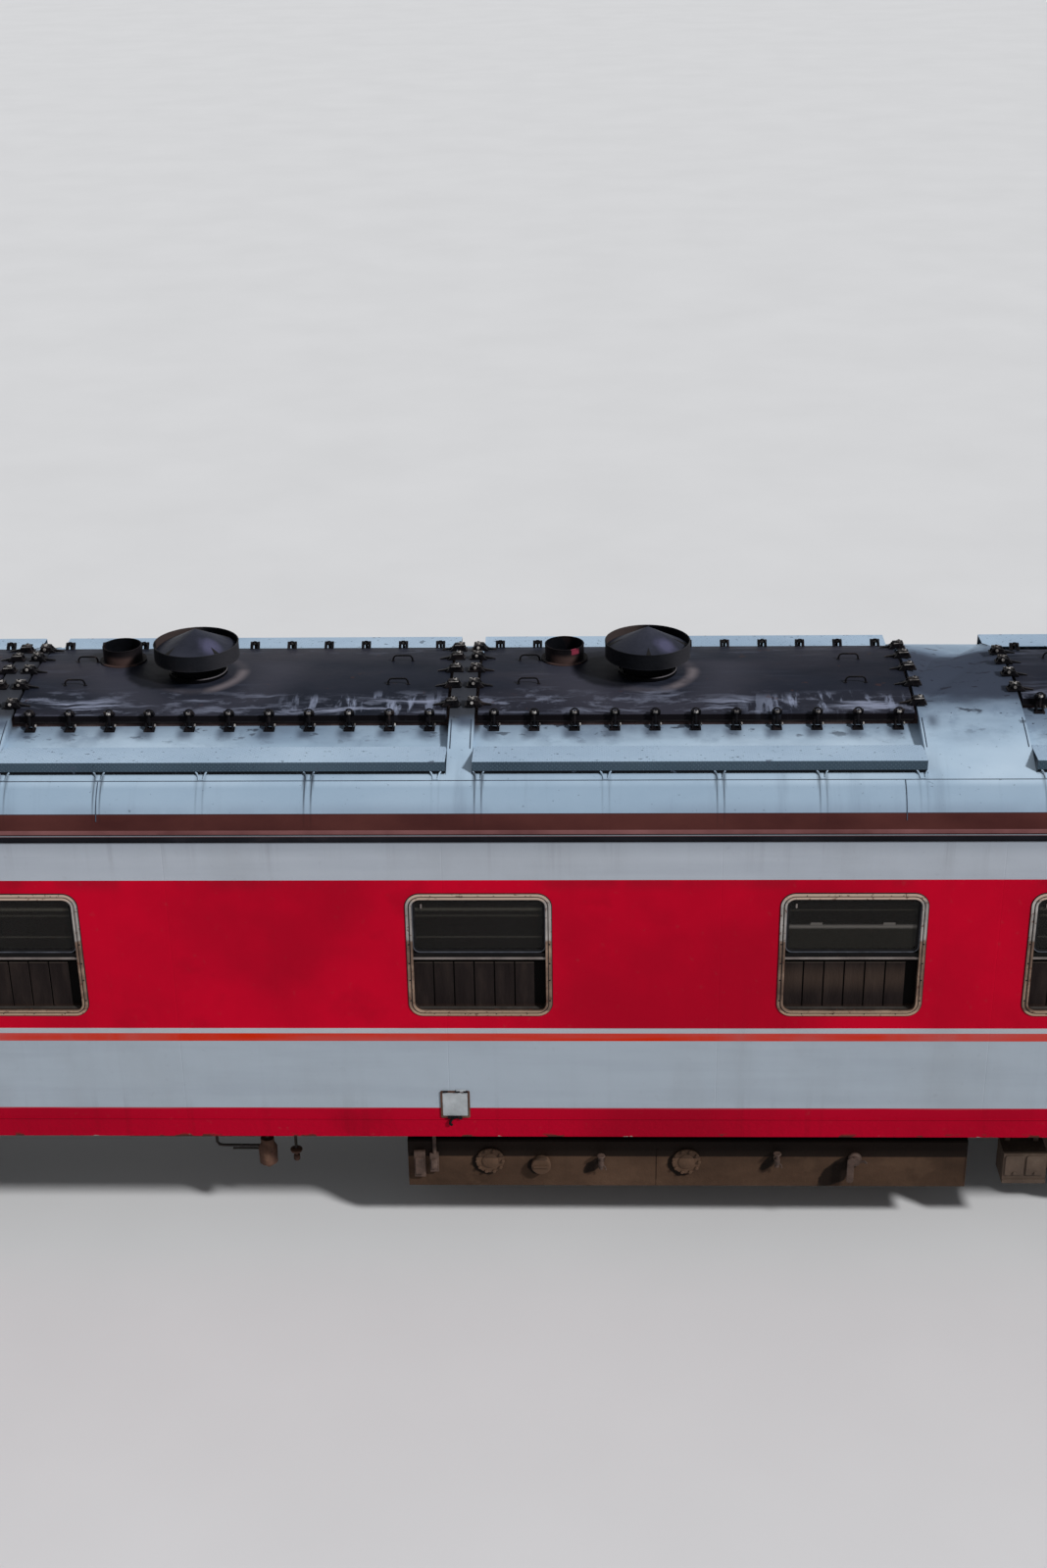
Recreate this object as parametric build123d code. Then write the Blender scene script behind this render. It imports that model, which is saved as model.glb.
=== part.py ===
"""Railway generator coach, 25.5 m body, millimetres.

X runs along the coach, the side seen in the photograph faces -Y, Z is up.
The origin lies under the middle of the coach, level with the lowest points
of the wheel flanges.
"""
import math
import os

from build123d import *

# Driving dimensions: running gear
FLANGE = 27.0
WHEEL_R = 457.5
WHEEL_WIDTH = 135.0
BACK_TO_BACK = 1353.0
AXLE_Z = WHEEL_R + FLANGE
AXLE_R = 85.0
JOURNAL_R = 65.0
JOURNAL_Y = 1000.0
JOURNAL_END = 1085.0
WHEELBASE = 2400.0
BOGIE_CENTRES = 18000.0
DISC_R = 320.0
DISC_WIDTH = 110.0
DISC_Y = 360.0

# Driving dimensions: body
BODY_LENGTH = 25500.0
HALF_WIDTH = 1552.5
WALL = 60.0
SILL_Z = 1079.0
BODY_Z = 1247.0
FLOOR_Z = 1310.0
CANT_Z = 3768.0
CANT_R = 400.0
ROOF_R = 2813.0
SILL_PLATE = 8.0
SILL_FLANGE = 90.0

# Clearances
DOOR_GAP = 6.0
SEAT_GAP = 0.3

# Worked out from the above
HALF_LENGTH = BODY_LENGTH / 2
BOGIE_X = BOGIE_CENTRES / 2
CANT_Y = HALF_WIDTH - CANT_R
ROOF_CENTRE_Z = CANT_Z - math.sqrt((ROOF_R - CANT_R) ** 2 - CANT_Y ** 2)
INNER_Y = HALF_WIDTH - WALL

# Roof hatches: name, first X, length, half width, clamps along a side, clamps along an end
HATCH_R = 3354.0
HATCH_TOP = 4455.0
HATCH_LID = 45.0
HATCH_LAP = 15.0
HATCH_MARGIN = 27.0
HATCH_LONG = 3340.0
COAMING = 30.0
HATCHES = [
    ("hatch_lid_1", -4466.0, HATCH_LONG, 710.0, 11, 5),
    ("hatch_lid_2", -880.0, HATCH_LONG, 710.0, 11, 5),
    ("hatch_lid_3", 2706.0, HATCH_LONG, 710.0, 11, 5),
    ("hatch_lid_4", 6900.0, 2540.0, 515.0, 8, 4),
]
RECESS_Y = 1300.0
RECESS_DEPTH = 83.0
VENT_OFFSET = 1320.0
VENT_R = 338.0
VENT_RIM_Z = 4715.0
VENT_RING = 127.0
CONE_R = 290.0
CONE_RISE = 113.0
CONE_SHEET = 11.0
STUB_OFFSET = 660.0
STUB_Y = 285.0
STUB_R = 157.0

# Roof walkway boards
BOARD_Y = 1013.0
BOARD_WIDTH = 277.0
BOARD_Z = 4250.0
BOARD_PLATE = 6.0
BOARD_DROP = 96.0
BOARD_LAP = 22.0
BOARD_FEET = 5

# Side windows: centre X of each on both sides
WINDOW_X = (-4490.0, -887.0, 2716.0, 5552.0, 7427.0, 9300.0)
WINDOW_WIDTH = 1105.0
WINDOW_HEIGHT = 1066.0
WINDOW_Z = 2741.0
WINDOW_CORNER = 110.0
WINDOW_BORDER = 45.0
WINDOW_LIP = 8.0
WINDOW_RAIL = 50.0
GLASS = 6.0
SCREEN_HEIGHT = 410.0
SLAT_PITCH = 156.0
SLAT_GAP = 12.0

# Doors
ENTRANCE_X = 11560.0
ENTRANCE_WIDTH = 750.0
ENTRANCE_HEIGHT = 1950.0
SERVICE_X = -7060.0
SERVICE_WIDTH = 900.0
END_DOOR_WIDTH = 800.0
END_DOOR_HEIGHT = 1980.0
DOOR_CORNER = 60.0
HINGE_R = 9.0
HINGE_INSET = 14.0
RAIL_OFFSET = 62.0

# Cooling room at the rear end
LOUVRE_X = (-11900.0, -10600.0, -9300.0)
LOUVRE_WIDTH = 1050.0
LOUVRE_HEIGHT = 1300.0
LOUVRE_Z = 2741.0
LOUVRE_BORDER = 40.0
LOUVRE_SLATS = 11
FAN_X = (-11300.0, -9700.0)
FAN_R = 480.0
FAN_BLADES = 8
COWL_R = 520.0
COWL_WALL = 30.0
COWL_TOP = 4560.0
FAN_Z = 4460.0

# Air conditioner bay at the front end
BAY_X = 11150.0
BAY_Y = 1230.0
BAY_Z = 3960.0
COOLER_LENGTH = 1430.0
COOLER_Y = 1130.0

# Underfloor
TANK_X = (2080.0, 6610.0)
TANK_Y = 1350.0
TANK_Z = (450.0, 900.0)
TANK_CHAMFER = 12.0
# Round covers and filler caps on the tank's faces: X, Z, radius, length
TANK_FITTINGS = [
    (2749.0, 714.0, 115.0, 20.0),
    (4343.0, 709.0, 115.0, 20.0),
    (3164.0, 686.0, 75.0, 60.0),
]
BOLSTER_Z = 1010.0
JACK_PAD_Y = 1400.0
JACK_PAD_HALF = 110.0
JACK_PAD_Z = 990.0

# Couplers
COUPLER_Z = 907.0
COUPLER_PIVOT = 12300.0
COUPLER_FACE = 13288.0
SHANK_HALF = 70.0
KNUCKLE_PIN = (13120.0, 105.0)

# Bogie frame
FRAME_Y = 1000.0
FRAME_HALF = 75.0
FRAME_END = 1650.0
FRAME_TOP = 830.0
FRAME_DIP = 500.0
FRAME_DEPTH = 130.0
FRAME_BEND_R = 150.0
FRAME_NOSE_R = 40.0
BOLSTER_TOP = 930.0
BOLSTER_UNDER = 790.0
BOX_R = 150.0
SPRING_X = 245.0
SPRING_R = 82.0
SPRING_SEAT = 440.0
BOLSTER_SPRING_R = 100.0
BOLSTER_SPRING_X = 125.0

PARTS = {}


def block(x0, x1, y0, y1, z0, z1):
    """A box between two corners."""
    size = Box(x1 - x0, y1 - y0, z1 - z0)
    return Pos((x0 + x1) / 2, (y0 + y1) / 2, (z0 + z1) / 2) * size


def along_x(face, x0, x1):
    """A face drawn in (Y, Z) stretched along X."""
    return Pos(x0, 0, 0) * extrude(Plane.YZ * face, x1 - x0)


def along_y(face, y0, y1):
    """A face drawn in (X, Z) stretched along Y."""
    return Pos(0, y1, 0) * extrude(Plane.XZ * face, y1 - y0)


def outline(points):
    """A straight-sided face through a list of points."""
    return make_face(Polyline(*points, close=True))


def turned(profile):
    """A profile in (radius, Z) turned about the Z axis."""
    return revolve(Plane.XZ * outline(profile), Axis.Z)


def rod(start, end, radius):
    """A round bar between two points."""
    line = Line(start, end)
    return extrude(Plane(start, z_dir=line % 0) * Circle(radius), line.length)


def both_sides(piece):
    """A piece and its mirror image across the middle of the coach."""
    return [piece, mirror(piece, Plane.XZ)]


def roof_height(y, radius=ROOF_R):
    """Height of the roof's main arc at a distance from the middle."""
    return ROOF_CENTRE_Z + math.sqrt(radius ** 2 - y ** 2)


def lid_height(y, inset=0.0):
    """Height of a hatch lid's arc at a distance from the middle."""
    radius = HATCH_R - inset
    return HATCH_TOP - HATCH_R + math.sqrt(radius ** 2 - y ** 2)


def body_region(inset, low):
    """Everything under the roof's outline, inset all round, down to a level."""
    half = HALF_WIDTH - inset
    turn = (ROOF_R - inset) / (ROOF_R - CANT_R)
    join_y = CANT_Y * turn
    join_z = ROOF_CENTRE_Z + (CANT_Z - ROOF_CENTRE_Z) * turn
    middle = math.atan2(CANT_Z - ROOF_CENTRE_Z, CANT_Y) / 2
    cant = CANT_R - inset
    bend_y = CANT_Y + cant * math.cos(middle)
    bend_z = CANT_Z + cant * math.sin(middle)
    crest = ROOF_CENTRE_Z + ROOF_R - inset
    edges = [
        Line((-half, low), (half, low)),
        ThreePointArc((half, CANT_Z), (bend_y, bend_z), (join_y, join_z)),
        ThreePointArc((join_y, join_z), (0, crest), (-join_y, join_z)),
        ThreePointArc((-join_y, join_z), (-bend_y, bend_z), (-half, CANT_Z)),
    ]
    if low < CANT_Z:
        edges += [Line((half, low), (half, CANT_Z)), Line((-half, low), (-half, CANT_Z))]
    return make_face(edges)


def lid_region(half, inset, low):
    """The region under a hatch lid's arc."""
    top = HATCH_TOP - inset
    side = lid_height(half, inset)
    edges = [
        Line((-half, low), (half, low)),
        Line((half, low), (half, side)),
        ThreePointArc((half, side), (0, top), (-half, side)),
        Line((-half, side), (-half, low)),
    ]
    return make_face(edges)


def rounded(width, height, corner, x, z):
    """A rounded rectangle drawn in (X, Z)."""
    return Pos(x, z) * RectangleRounded(width, height, corner)


# Body: roof

def hatch_bay(first, length):
    """Ends of the lowered bay in the roof that holds a hatch."""
    return first - HATCH_MARGIN, first + length + HATCH_MARGIN


def recess_line(half):
    """Top edge of the lowered roof beside a hatch: inner and outer end."""
    inner = (half - HATCH_LAP, roof_height(half) - RECESS_DEPTH)
    outer = (RECESS_Y, roof_height(RECESS_Y))
    return inner, outer


def make_roof():
    shell = body_region(0, CANT_Z) - body_region(WALL, CANT_Z)
    roof = along_x(shell, -HALF_LENGTH, HALF_LENGTH)
    for _, first, length, half, _, _ in HATCHES:
        x0, x1 = hatch_bay(first, length)
        inner, outer = recess_line(half)
        roof -= block(x0, x1, -RECESS_Y, RECESS_Y, CANT_Z, HATCH_TOP + WALL)
        low_outer = (outer[0], roof_height(RECESS_Y, ROOF_R - WALL))
        low_inner = (inner[0], inner[1] - WALL)
        shelf = outline([inner, outer, low_outer, low_inner])
        cheek = outline([low_inner, low_outer, (outer[0], HATCH_TOP), (inner[0], HATCH_TOP)])
        cheek = cheek & body_region(0, CANT_Z)
        for side in (1, -1):
            for face, a, b in ((shelf, x0, x1), (cheek, x0 - 20, x0), (cheek, x1, x1 + 20)):
                piece = along_x(face, a, b)
                roof += piece if side > 0 else mirror(piece, Plane.XZ)
    for x in FAN_X:
        roof -= Pos(x, 0, FAN_Z) * Cylinder(COWL_R + COWL_WALL + SEAT_GAP, 800)
    roof -= block(BAY_X, HALF_LENGTH, -BAY_Y, BAY_Y, BAY_Z, HATCH_TOP + WALL)
    tray = along_x(Pos(0, BAY_Z - WALL / 2) * Rectangle(2 * BAY_Y + 40, WALL), BAY_X, HALF_LENGTH)
    end = body_region(0, CANT_Z) & (Pos(0, BAY_Z + 300) * Rectangle(2 * BAY_Y, 600 + 2 * WALL))
    roof += tray
    roof += along_x(end, BAY_X - WALL, BAY_X)
    return roof


def make_coamings():
    rings = []
    for _, first, length, half, _, _ in HATCHES:
        x0, x1 = hatch_bay(first, length)
        inner, _ = recess_line(half)
        low = inner[1] - WALL
        ring = along_x(lid_region(inner[0], HATCH_LID, low), x0, x1)
        hole = inner[0] - COAMING
        ring -= block(x0 + COAMING, x1 - COAMING, -hole, hole, low - 1, HATCH_TOP)
        rings.append(ring)
    return rings


def make_hatch_lid(first, length, half):
    face = lid_region(half, 0, CANT_Z) - lid_region(half, HATCH_LID, CANT_Z)
    lid = along_x(face, first, first + length)
    return lid


def make_clamps():
    """Swing bolt clamps: foot on the roof, bolt, and head over the lid's edge."""
    clamps = []
    for _, first, length, half, count, end_count in HATCHES:
        edge = lid_height(half)
        rise = 34 * half / HATCH_R + 1
        inner, outer = recess_line(half)
        fall = (outer[1] - inner[1]) / (outer[0] - inner[0])
        foot = inner[1] + fall * (HATCH_LAP + 26) - edge
        face = outline([(26, foot), (96, foot + 70 * fall), (96, foot + 24), (62, foot + 30), (62, 22),
                        (40, 40), (-34, 38), (-34, rise), (0, SEAT_GAP), (26, SEAT_GAP)])
        step = (length - 250) / (count - 1)
        for i in range(count):
            x = first + 125 + step * i
            clamps += both_sides(Pos(0, half, edge) * along_x(face, x - 26, x + 26))
        pitch = 2 * (half - 130) / (end_count - 1)
        for i in range(end_count):
            y = -(half - 130) + pitch * i
            high = lid_height(max(abs(y) - 26, 0))
            foot = roof_height(max(abs(y) - 26, 0)) - high
            riser = HATCH_MARGIN - 1
            face = outline([(riser, foot), (100, foot), (100, foot + 20), (66, foot + 26), (66, 30),
                            (44, 44), (-34, 38), (-34, SEAT_GAP), (riser, SEAT_GAP)])
            piece = Pos(0, 0, high) * along_y(face, y - 26, y + 26)
            clamps.append(Pos(first + length, 0, 0) * piece)
            clamps.append(Pos(first, 0, 0) * mirror(piece, Plane.YZ))
    return clamps


def under_lid(first):
    """The space below a long hatch lid's top, to seat a piece on it."""
    return along_x(lid_region(HALF_WIDTH / 2, 0, CANT_Z), first, first + HATCH_LONG)


def make_ventilators():
    vents = []
    ring_foot = VENT_RIM_Z - VENT_RING
    tip = VENT_RIM_Z + CONE_RISE
    under = tip - CONE_SHEET / 2 - CONE_RISE * 236 / CONE_R
    web = outline([(236, ring_foot + 12), (VENT_R - 4, ring_foot + 12), (VENT_R - 4, VENT_RIM_Z - 6),
                   (CONE_R - 2, VENT_RIM_Z - 6), (236, under)])
    web = along_y(web, -4, 4)
    for _, first, _, _, count, _ in HATCHES:
        if count < 10:
            continue
        base = HATCH_TOP - 18
        neck = turned([(200, base), (262, base), (262, base + 40), (250, base + 58), (250, base + 100),
                       (285, base + 100), (285, base + 112), (240, base + 112), (240, base + 190),
                       (225, base + 190), (225, base + 60), (200, base + 40)])
        ring = turned([(VENT_R - 8, ring_foot), (VENT_R, ring_foot), (VENT_R, VENT_RIM_Z),
                       (VENT_R - 8, VENT_RIM_Z)])
        cone = turned([(0, tip - CONE_SHEET), (CONE_R, VENT_RIM_Z - CONE_SHEET), (CONE_R, VENT_RIM_Z),
                       (0, tip)])
        vent = neck + ring + cone
        for turn in range(4):
            vent += Rot(0, 0, 90 * turn) * web
        vents.append(Pos(first + VENT_OFFSET, 0, 0) * vent - under_lid(first))
    return vents


def make_exhausts():
    stubs = []
    for _, first, _, _, count, _ in HATCHES:
        if count < 10:
            continue
        z = lid_height(STUB_Y + STUB_R)
        foot = Pos(0, 0, z + 70) * (Cylinder(STUB_R + 30, 140) - Cylinder(STUB_R - 12, 140))
        foot &= Pos(0, 0, 0) * block(-400, 400, -400, 400, z - 10, z + 34)
        tube = Pos(0, 0, z + 75) * (Cylinder(STUB_R, 150) - Cylinder(STUB_R - 8, 150))
        stub = Pos(first + STUB_OFFSET, STUB_Y, 0) * (tube + foot)
        stubs.append(stub - under_lid(first))
    return stubs


def make_walkways():
    boards = []
    outer = BOARD_Y + BOARD_WIDTH
    for _, first, length, half, _, _ in HATCHES:
        inner, edge = recess_line(half)
        slope = (edge[1] - inner[1]) / (edge[0] - inner[0])
        section = outline([
            (BOARD_Y, BOARD_Z), (outer, BOARD_Z), (outer, BOARD_Z - BOARD_DROP),
            (outer - BOARD_PLATE, BOARD_Z - BOARD_DROP), (outer - BOARD_PLATE, BOARD_Z - BOARD_PLATE),
            (BOARD_Y, BOARD_Z - BOARD_PLATE)])
        board = along_x(section, first - BOARD_LAP, first + length + BOARD_LAP)
        low_a = inner[1] + slope * (BOARD_Y + 20 - inner[0])
        low_b = inner[1] + slope * (outer - 20 - inner[0])
        foot = outline([(BOARD_Y + 20, low_a), (outer - 20, low_b),
                        (outer - BOARD_PLATE, BOARD_Z - BOARD_DROP + 10),
                        (outer - BOARD_PLATE, BOARD_Z - BOARD_PLATE),
                        (BOARD_Y + 20, BOARD_Z - BOARD_PLATE)])
        step = (length - 100) / (BOARD_FEET - 1)
        for i in range(BOARD_FEET):
            x = first + 50 + step * i
            board += along_x(foot, x - 20, x + 20)
        boards += both_sides(board)
    return boards


def make_cooler():
    """Air conditioner in its bay, under the line of the roof."""
    x0 = HALF_LENGTH - 70 - COOLER_LENGTH
    x1 = HALF_LENGTH - 70
    face = body_region(14, CANT_Z) & (Pos(0, BAY_Z + 300) * Rectangle(2 * COOLER_Y, 600))
    casing = along_x(face, x0, x1)
    for y in (-620, 620):
        for i in range(2):
            x = x0 + 90 + i * 650
            window = block(x, x + 560, y - 210, y + 210, BAY_Z + 200, HATCH_TOP + WALL)
            casing -= window & along_x(body_region(0, CANT_Z) - body_region(74, CANT_Z), x0, x1)
            for k in range(6):
                bar = block(x - 1, x + 561, y - 180 + 66 * k, y - 150 + 66 * k, BAY_Z + 200, HATCH_TOP + WALL)
                casing += bar & along_x(body_region(22, CANT_Z) - body_region(50, CANT_Z), x0, x1)
    return casing


def make_fan_guards():
    guards = []
    for x in FAN_X:
        low = roof_height(COWL_R + COWL_WALL) - 80
        cowl = turned([(COWL_R, low), (COWL_R + COWL_WALL, low), (COWL_R + COWL_WALL, COWL_TOP), (COWL_R, COWL_TOP)])
        for radius in (180, 300, 410):
            ring = turned([(radius, COWL_TOP - 16), (radius + 12, COWL_TOP - 16), (radius + 12, COWL_TOP - 4),
                           (radius, COWL_TOP - 4)])
            cowl += ring
        for turn in range(4):
            bar = block(-COWL_R - 4, COWL_R + 4, -7, 7, COWL_TOP - 20, COWL_TOP - 2)
            cowl += Rot(0, 0, 45 * turn) * bar
        cowl += block(-COWL_R - 4, COWL_R + 4, -50, 50, low, low + 40)
        cowl += Pos(0, 0, low + 45) * Cylinder(90, 40)
        guards.append(Pos(x, 0, 0) * cowl)
    return guards


def make_fan():
    """Cooling fan rotor about its own shaft."""
    low = roof_height(COWL_R + COWL_WALL) - 80 + 65 + SEAT_GAP
    fan = Pos(0, 0, (low + FAN_Z + 50) / 2) * Cylinder(100, FAN_Z + 50 - low)
    for i in range(FAN_BLADES):
        blade = Pos(280, 0, 0) * Rot(28, 0, 0) * Box(2 * (FAN_R - 280), 170, 8)
        fan += Rot(0, 0, 360 / FAN_BLADES * i) * Pos(0, 0, FAN_Z) * blade
    return fan


# Body: walls, floor and frame

def door_hole(x, width, height):
    """A side doorway from the floor up, in (X, Z)."""
    high = FLOOR_Z + height
    return Pos(x + width / 2, (FLOOR_Z + high) / 2) * Rectangle(width, height)


def make_side_wall(near):
    wall = along_y(Pos(0, (BODY_Z + CANT_Z) / 2) * Rectangle(BODY_LENGTH, CANT_Z - BODY_Z), INNER_Y, HALF_WIDTH)
    holes = []
    for x in WINDOW_X:
        holes.append(rounded(WINDOW_WIDTH - 50, WINDOW_HEIGHT - 50, WINDOW_CORNER - 25, x, WINDOW_Z))
    for x in LOUVRE_X:
        holes.append(Pos(x, LOUVRE_Z) * Rectangle(LOUVRE_WIDTH, LOUVRE_HEIGHT))
    holes.append(door_hole(ENTRANCE_X, ENTRANCE_WIDTH, ENTRANCE_HEIGHT))
    holes.append(door_hole(SERVICE_X, SERVICE_WIDTH, ENTRANCE_HEIGHT))
    for hole in holes:
        wall -= along_y(hole, INNER_Y - 1, HALF_WIDTH + 1)
    return mirror(wall, Plane.XZ) if near else wall


def make_end_wall(front):
    face = body_region(WALL, BODY_Z) - Pos(0, FLOOR_Z + END_DOOR_HEIGHT / 2) * Rectangle(
        END_DOOR_WIDTH, END_DOOR_HEIGHT)
    face -= Pos(0, (BODY_Z + FLOOR_Z) / 2) * Rectangle(2 * INNER_Y, FLOOR_Z - BODY_Z)
    if front:
        face -= Pos(0, BAY_Z - WALL + 1000) * Rectangle(3 * HALF_WIDTH, 2000)
    wall = along_x(face, HALF_LENGTH - WALL, HALF_LENGTH)
    return wall if front else mirror(wall, Plane.YZ)


def make_underframe():
    outer = HALF_WIDTH
    channel = outline([
        (outer, SILL_Z), (outer, BODY_Z), (outer - SILL_FLANGE, BODY_Z), (outer - SILL_FLANGE, BODY_Z - 10),
        (outer - SILL_PLATE, BODY_Z - 10), (outer - SILL_PLATE, SILL_Z + 10),
        (outer - SILL_FLANGE, SILL_Z + 10), (outer - SILL_FLANGE, SILL_Z)])
    sill = along_x(channel, -HALF_LENGTH, HALF_LENGTH)
    centre = along_x(outline([(160, 930), (240, 930), (240, BODY_Z), (160, BODY_Z)]), -HALF_LENGTH, HALF_LENGTH)
    frame = sill + mirror(sill, Plane.XZ)
    frame += centre
    frame += mirror(centre, Plane.XZ)
    inside = outer - SILL_PLATE
    for i in range(-11, 12):
        frame += block(1050 * i - 45, 1050 * i + 45, -inside, inside, BODY_Z - 110, BODY_Z)
    for end in (1, -1):
        x = end * BOGIE_X
        frame += block(x - 170, x + 170, -inside, inside, BOLSTER_Z, BODY_Z)
        frame -= block(x - 330, x + 330, -260, 260, 900, BOLSTER_Z)
        frame += Pos(x, 0, BOLSTER_Z - 17) * Cylinder(210, 36)
        for y in (-JACK_PAD_Y, JACK_PAD_Y):
            frame += block(x - JACK_PAD_HALF, x + JACK_PAD_HALF, y - JACK_PAD_HALF, y + JACK_PAD_HALF,
                           JACK_PAD_Z, BOLSTER_Z)
        a, b = sorted((end * (HALF_LENGTH - 120), end * HALF_LENGTH))
        frame += block(a, b, -inside, inside, SILL_Z, BODY_Z)
        a, b = sorted((end * (HALF_LENGTH - 160), end * (HALF_LENGTH - 60)))
        frame += block(a, b, -240, 240, COUPLER_Z - SHANK_HALF - 20, COUPLER_Z - SHANK_HALF - SEAT_GAP)
        for y in (160, -240):
            frame += block(a, b, y, y + 80, COUPLER_Z - SHANK_HALF - 20, 940)
        a, b = sorted((end * (COUPLER_PIVOT - 560), end * (COUPLER_PIVOT - 72)))
        frame += block(a, b, -165, 165, COUPLER_Z - 60, COUPLER_Z + 60)
    return frame


def make_floor():
    half = HALF_LENGTH
    return block(-half, half, -INNER_Y, INNER_Y, BODY_Z, FLOOR_Z)


def make_gutters():
    strip = outline([(HALF_WIDTH, 3712), (HALF_WIDTH + 8, 3712), (HALF_WIDTH + 8, 3722),
                     (HALF_WIDTH + 20, 3732), (HALF_WIDTH + 20, 3767), (HALF_WIDTH + 14, 3767),
                     (HALF_WIDTH + 14, 3738), (HALF_WIDTH, 3738)])
    return both_sides(along_x(strip, -HALF_LENGTH, HALF_LENGTH))


def make_window_frames():
    frames = []
    for x in WINDOW_X:
        outside = rounded(WINDOW_WIDTH, WINDOW_HEIGHT, WINDOW_CORNER, x, WINDOW_Z)
        seat = rounded(WINDOW_WIDTH - 50, WINDOW_HEIGHT - 50, WINDOW_CORNER - 25, x, WINDOW_Z)
        clear = rounded(WINDOW_WIDTH - 2 * WINDOW_BORDER, WINDOW_HEIGHT - 2 * WINDOW_BORDER,
                        WINDOW_CORNER - WINDOW_BORDER, x, WINDOW_Z)
        frame = along_y(outside - clear, HALF_WIDTH, HALF_WIDTH + WINDOW_LIP)
        frame += along_y(seat - clear, INNER_Y, HALF_WIDTH)
        rail = Pos(x, WINDOW_Z - 8) * Rectangle(WINDOW_WIDTH - 2 * WINDOW_BORDER, WINDOW_RAIL)
        frame += along_y(rail, HALF_WIDTH - 40, HALF_WIDTH - 6)
        frames += both_sides(frame)
    return frames


def make_window_glass():
    panes = []
    low = WINDOW_Z - 8 + WINDOW_RAIL / 2
    high = WINDOW_Z + WINDOW_HEIGHT / 2 - WINDOW_BORDER
    for x in WINDOW_X:
        clear = rounded(WINDOW_WIDTH - 2 * WINDOW_BORDER, WINDOW_HEIGHT - 2 * WINDOW_BORDER,
                        WINDOW_CORNER - WINDOW_BORDER, x, WINDOW_Z)
        pane = clear & (Pos(x, (low + high) / 2) * Rectangle(WINDOW_WIDTH, high - low))
        panes += both_sides(along_y(pane, HALF_WIDTH - 30, HALF_WIDTH - 30 + GLASS))
    return panes


def make_window_screens():
    """Upright boards on back plates, behind the open lower halves of the windows."""
    screens = []
    width = WINDOW_WIDTH - 2 * WINDOW_BORDER - 2 * SEAT_GAP
    height = WINDOW_HEIGHT - 2 * WINDOW_BORDER - 2 * SEAT_GAP
    low = WINDOW_Z - height / 2
    back, face = HALF_WIDTH - 52, HALF_WIDTH - 46
    count = int(width // SLAT_PITCH)
    for x in WINDOW_X:
        region = rounded(width, height, WINDOW_CORNER - WINDOW_BORDER, x, WINDOW_Z)
        region &= Pos(x, low + SCREEN_HEIGHT / 2) * Rectangle(width, SCREEN_HEIGHT)
        panel = along_y(region, back, face)
        for i in range(count):
            middle = x - width / 2 + SLAT_PITCH * (i + 0.5) - SLAT_GAP / 2
            slat = Pos(middle, low + SCREEN_HEIGHT / 2) * Rectangle(SLAT_PITCH - SLAT_GAP, SCREEN_HEIGHT)
            panel += along_y(region & slat, face, face + 8)
        screens += both_sides(panel)
    return screens


def make_louvres():
    panels = []
    width, height = LOUVRE_WIDTH, LOUVRE_HEIGHT
    low = LOUVRE_Z - height / 2 + LOUVRE_BORDER
    pitch = (height - 2 * LOUVRE_BORDER) / LOUVRE_SLATS
    for x in LOUVRE_X:
        ring = Pos(x, LOUVRE_Z) * (Rectangle(width, height) - Rectangle(
            width - 2 * LOUVRE_BORDER, height - 2 * LOUVRE_BORDER))
        panel = along_y(ring, INNER_Y, HALF_WIDTH)
        for i in range(LOUVRE_SLATS):
            z = low + 4 + pitch * i
            slat = outline([(HALF_WIDTH - 2, z), (HALF_WIDTH - 2, z + 8), (INNER_Y + 6, z + pitch * 0.9),
                            (INNER_Y + 6, z + pitch * 0.9 - 8)])
            panel += along_x(slat, x - width / 2 + 2, x + width / 2 - 2)
        panels += both_sides(panel)
    return panels


# Doors

def make_hinged_door(width, height, window_low, outward=False):
    """A leaf in its own frame: hinge axis on Z, leaf towards +X, inside face at Y = 0."""
    x0 = -HINGE_INSET
    leaf = block(x0, x0 + width - 2 * DOOR_GAP, -WALL, 0, DOOR_GAP, height - DOOR_GAP)
    cut = rounded(width * 0.5, 560, DOOR_CORNER, x0 + width / 2 - DOOR_GAP, window_low + 280)
    leaf -= along_y(cut, -WALL - 1, 1)
    pin = Pos(0, 0, height / 2) * Cylinder(HINGE_R, height - 2 * SEAT_GAP)
    if outward:
        leaf = Pos(0, WALL, 0) * leaf
    return leaf + pin


def place_side_door(x, width, near, outward):
    """Side door in its doorway, hinged at its lower X edge."""
    door = make_hinged_door(width, ENTRANCE_HEIGHT, 1050, outward)
    face = -HALF_WIDTH if outward else -INNER_Y
    door = Pos(x + DOOR_GAP + HINGE_INSET, face, FLOOR_Z) * door
    return door if near else mirror(door, Plane.XZ)


def make_end_door(front):
    """End door, hinged on its left side as seen from outside."""
    door = make_hinged_door(END_DOOR_WIDTH, END_DOOR_HEIGHT, 1050)
    y = END_DOOR_WIDTH / 2 - DOOR_GAP - HINGE_INSET
    door = Rot(0, 0, 90) * door
    door = Pos(HALF_LENGTH - WALL, -y, FLOOR_Z) * door
    return door if front else Rot(0, 0, 180) * door


# Ends

def make_gangway(front):
    """Folded gangway bellows with its face frame."""
    x = HALF_LENGTH
    outer = Pos(0, 2350) * RectangleRounded(1340, 2380, 120)
    inner = Pos(0, 2340) * RectangleRounded(1000, 2060, 60)
    ring = along_x(outer - inner, x, x + 30)
    folds = 5
    for i in range(folds):
        a = x + 30 + i * 60
        small = Pos(0, 2350) * RectangleRounded(1240, 2280, 100)
        ring += along_x(small - inner, a, a + 30)
        ring += along_x(outer - inner, a + 30, a + 60)
    return ring if front else mirror(ring, Plane.YZ)


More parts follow.
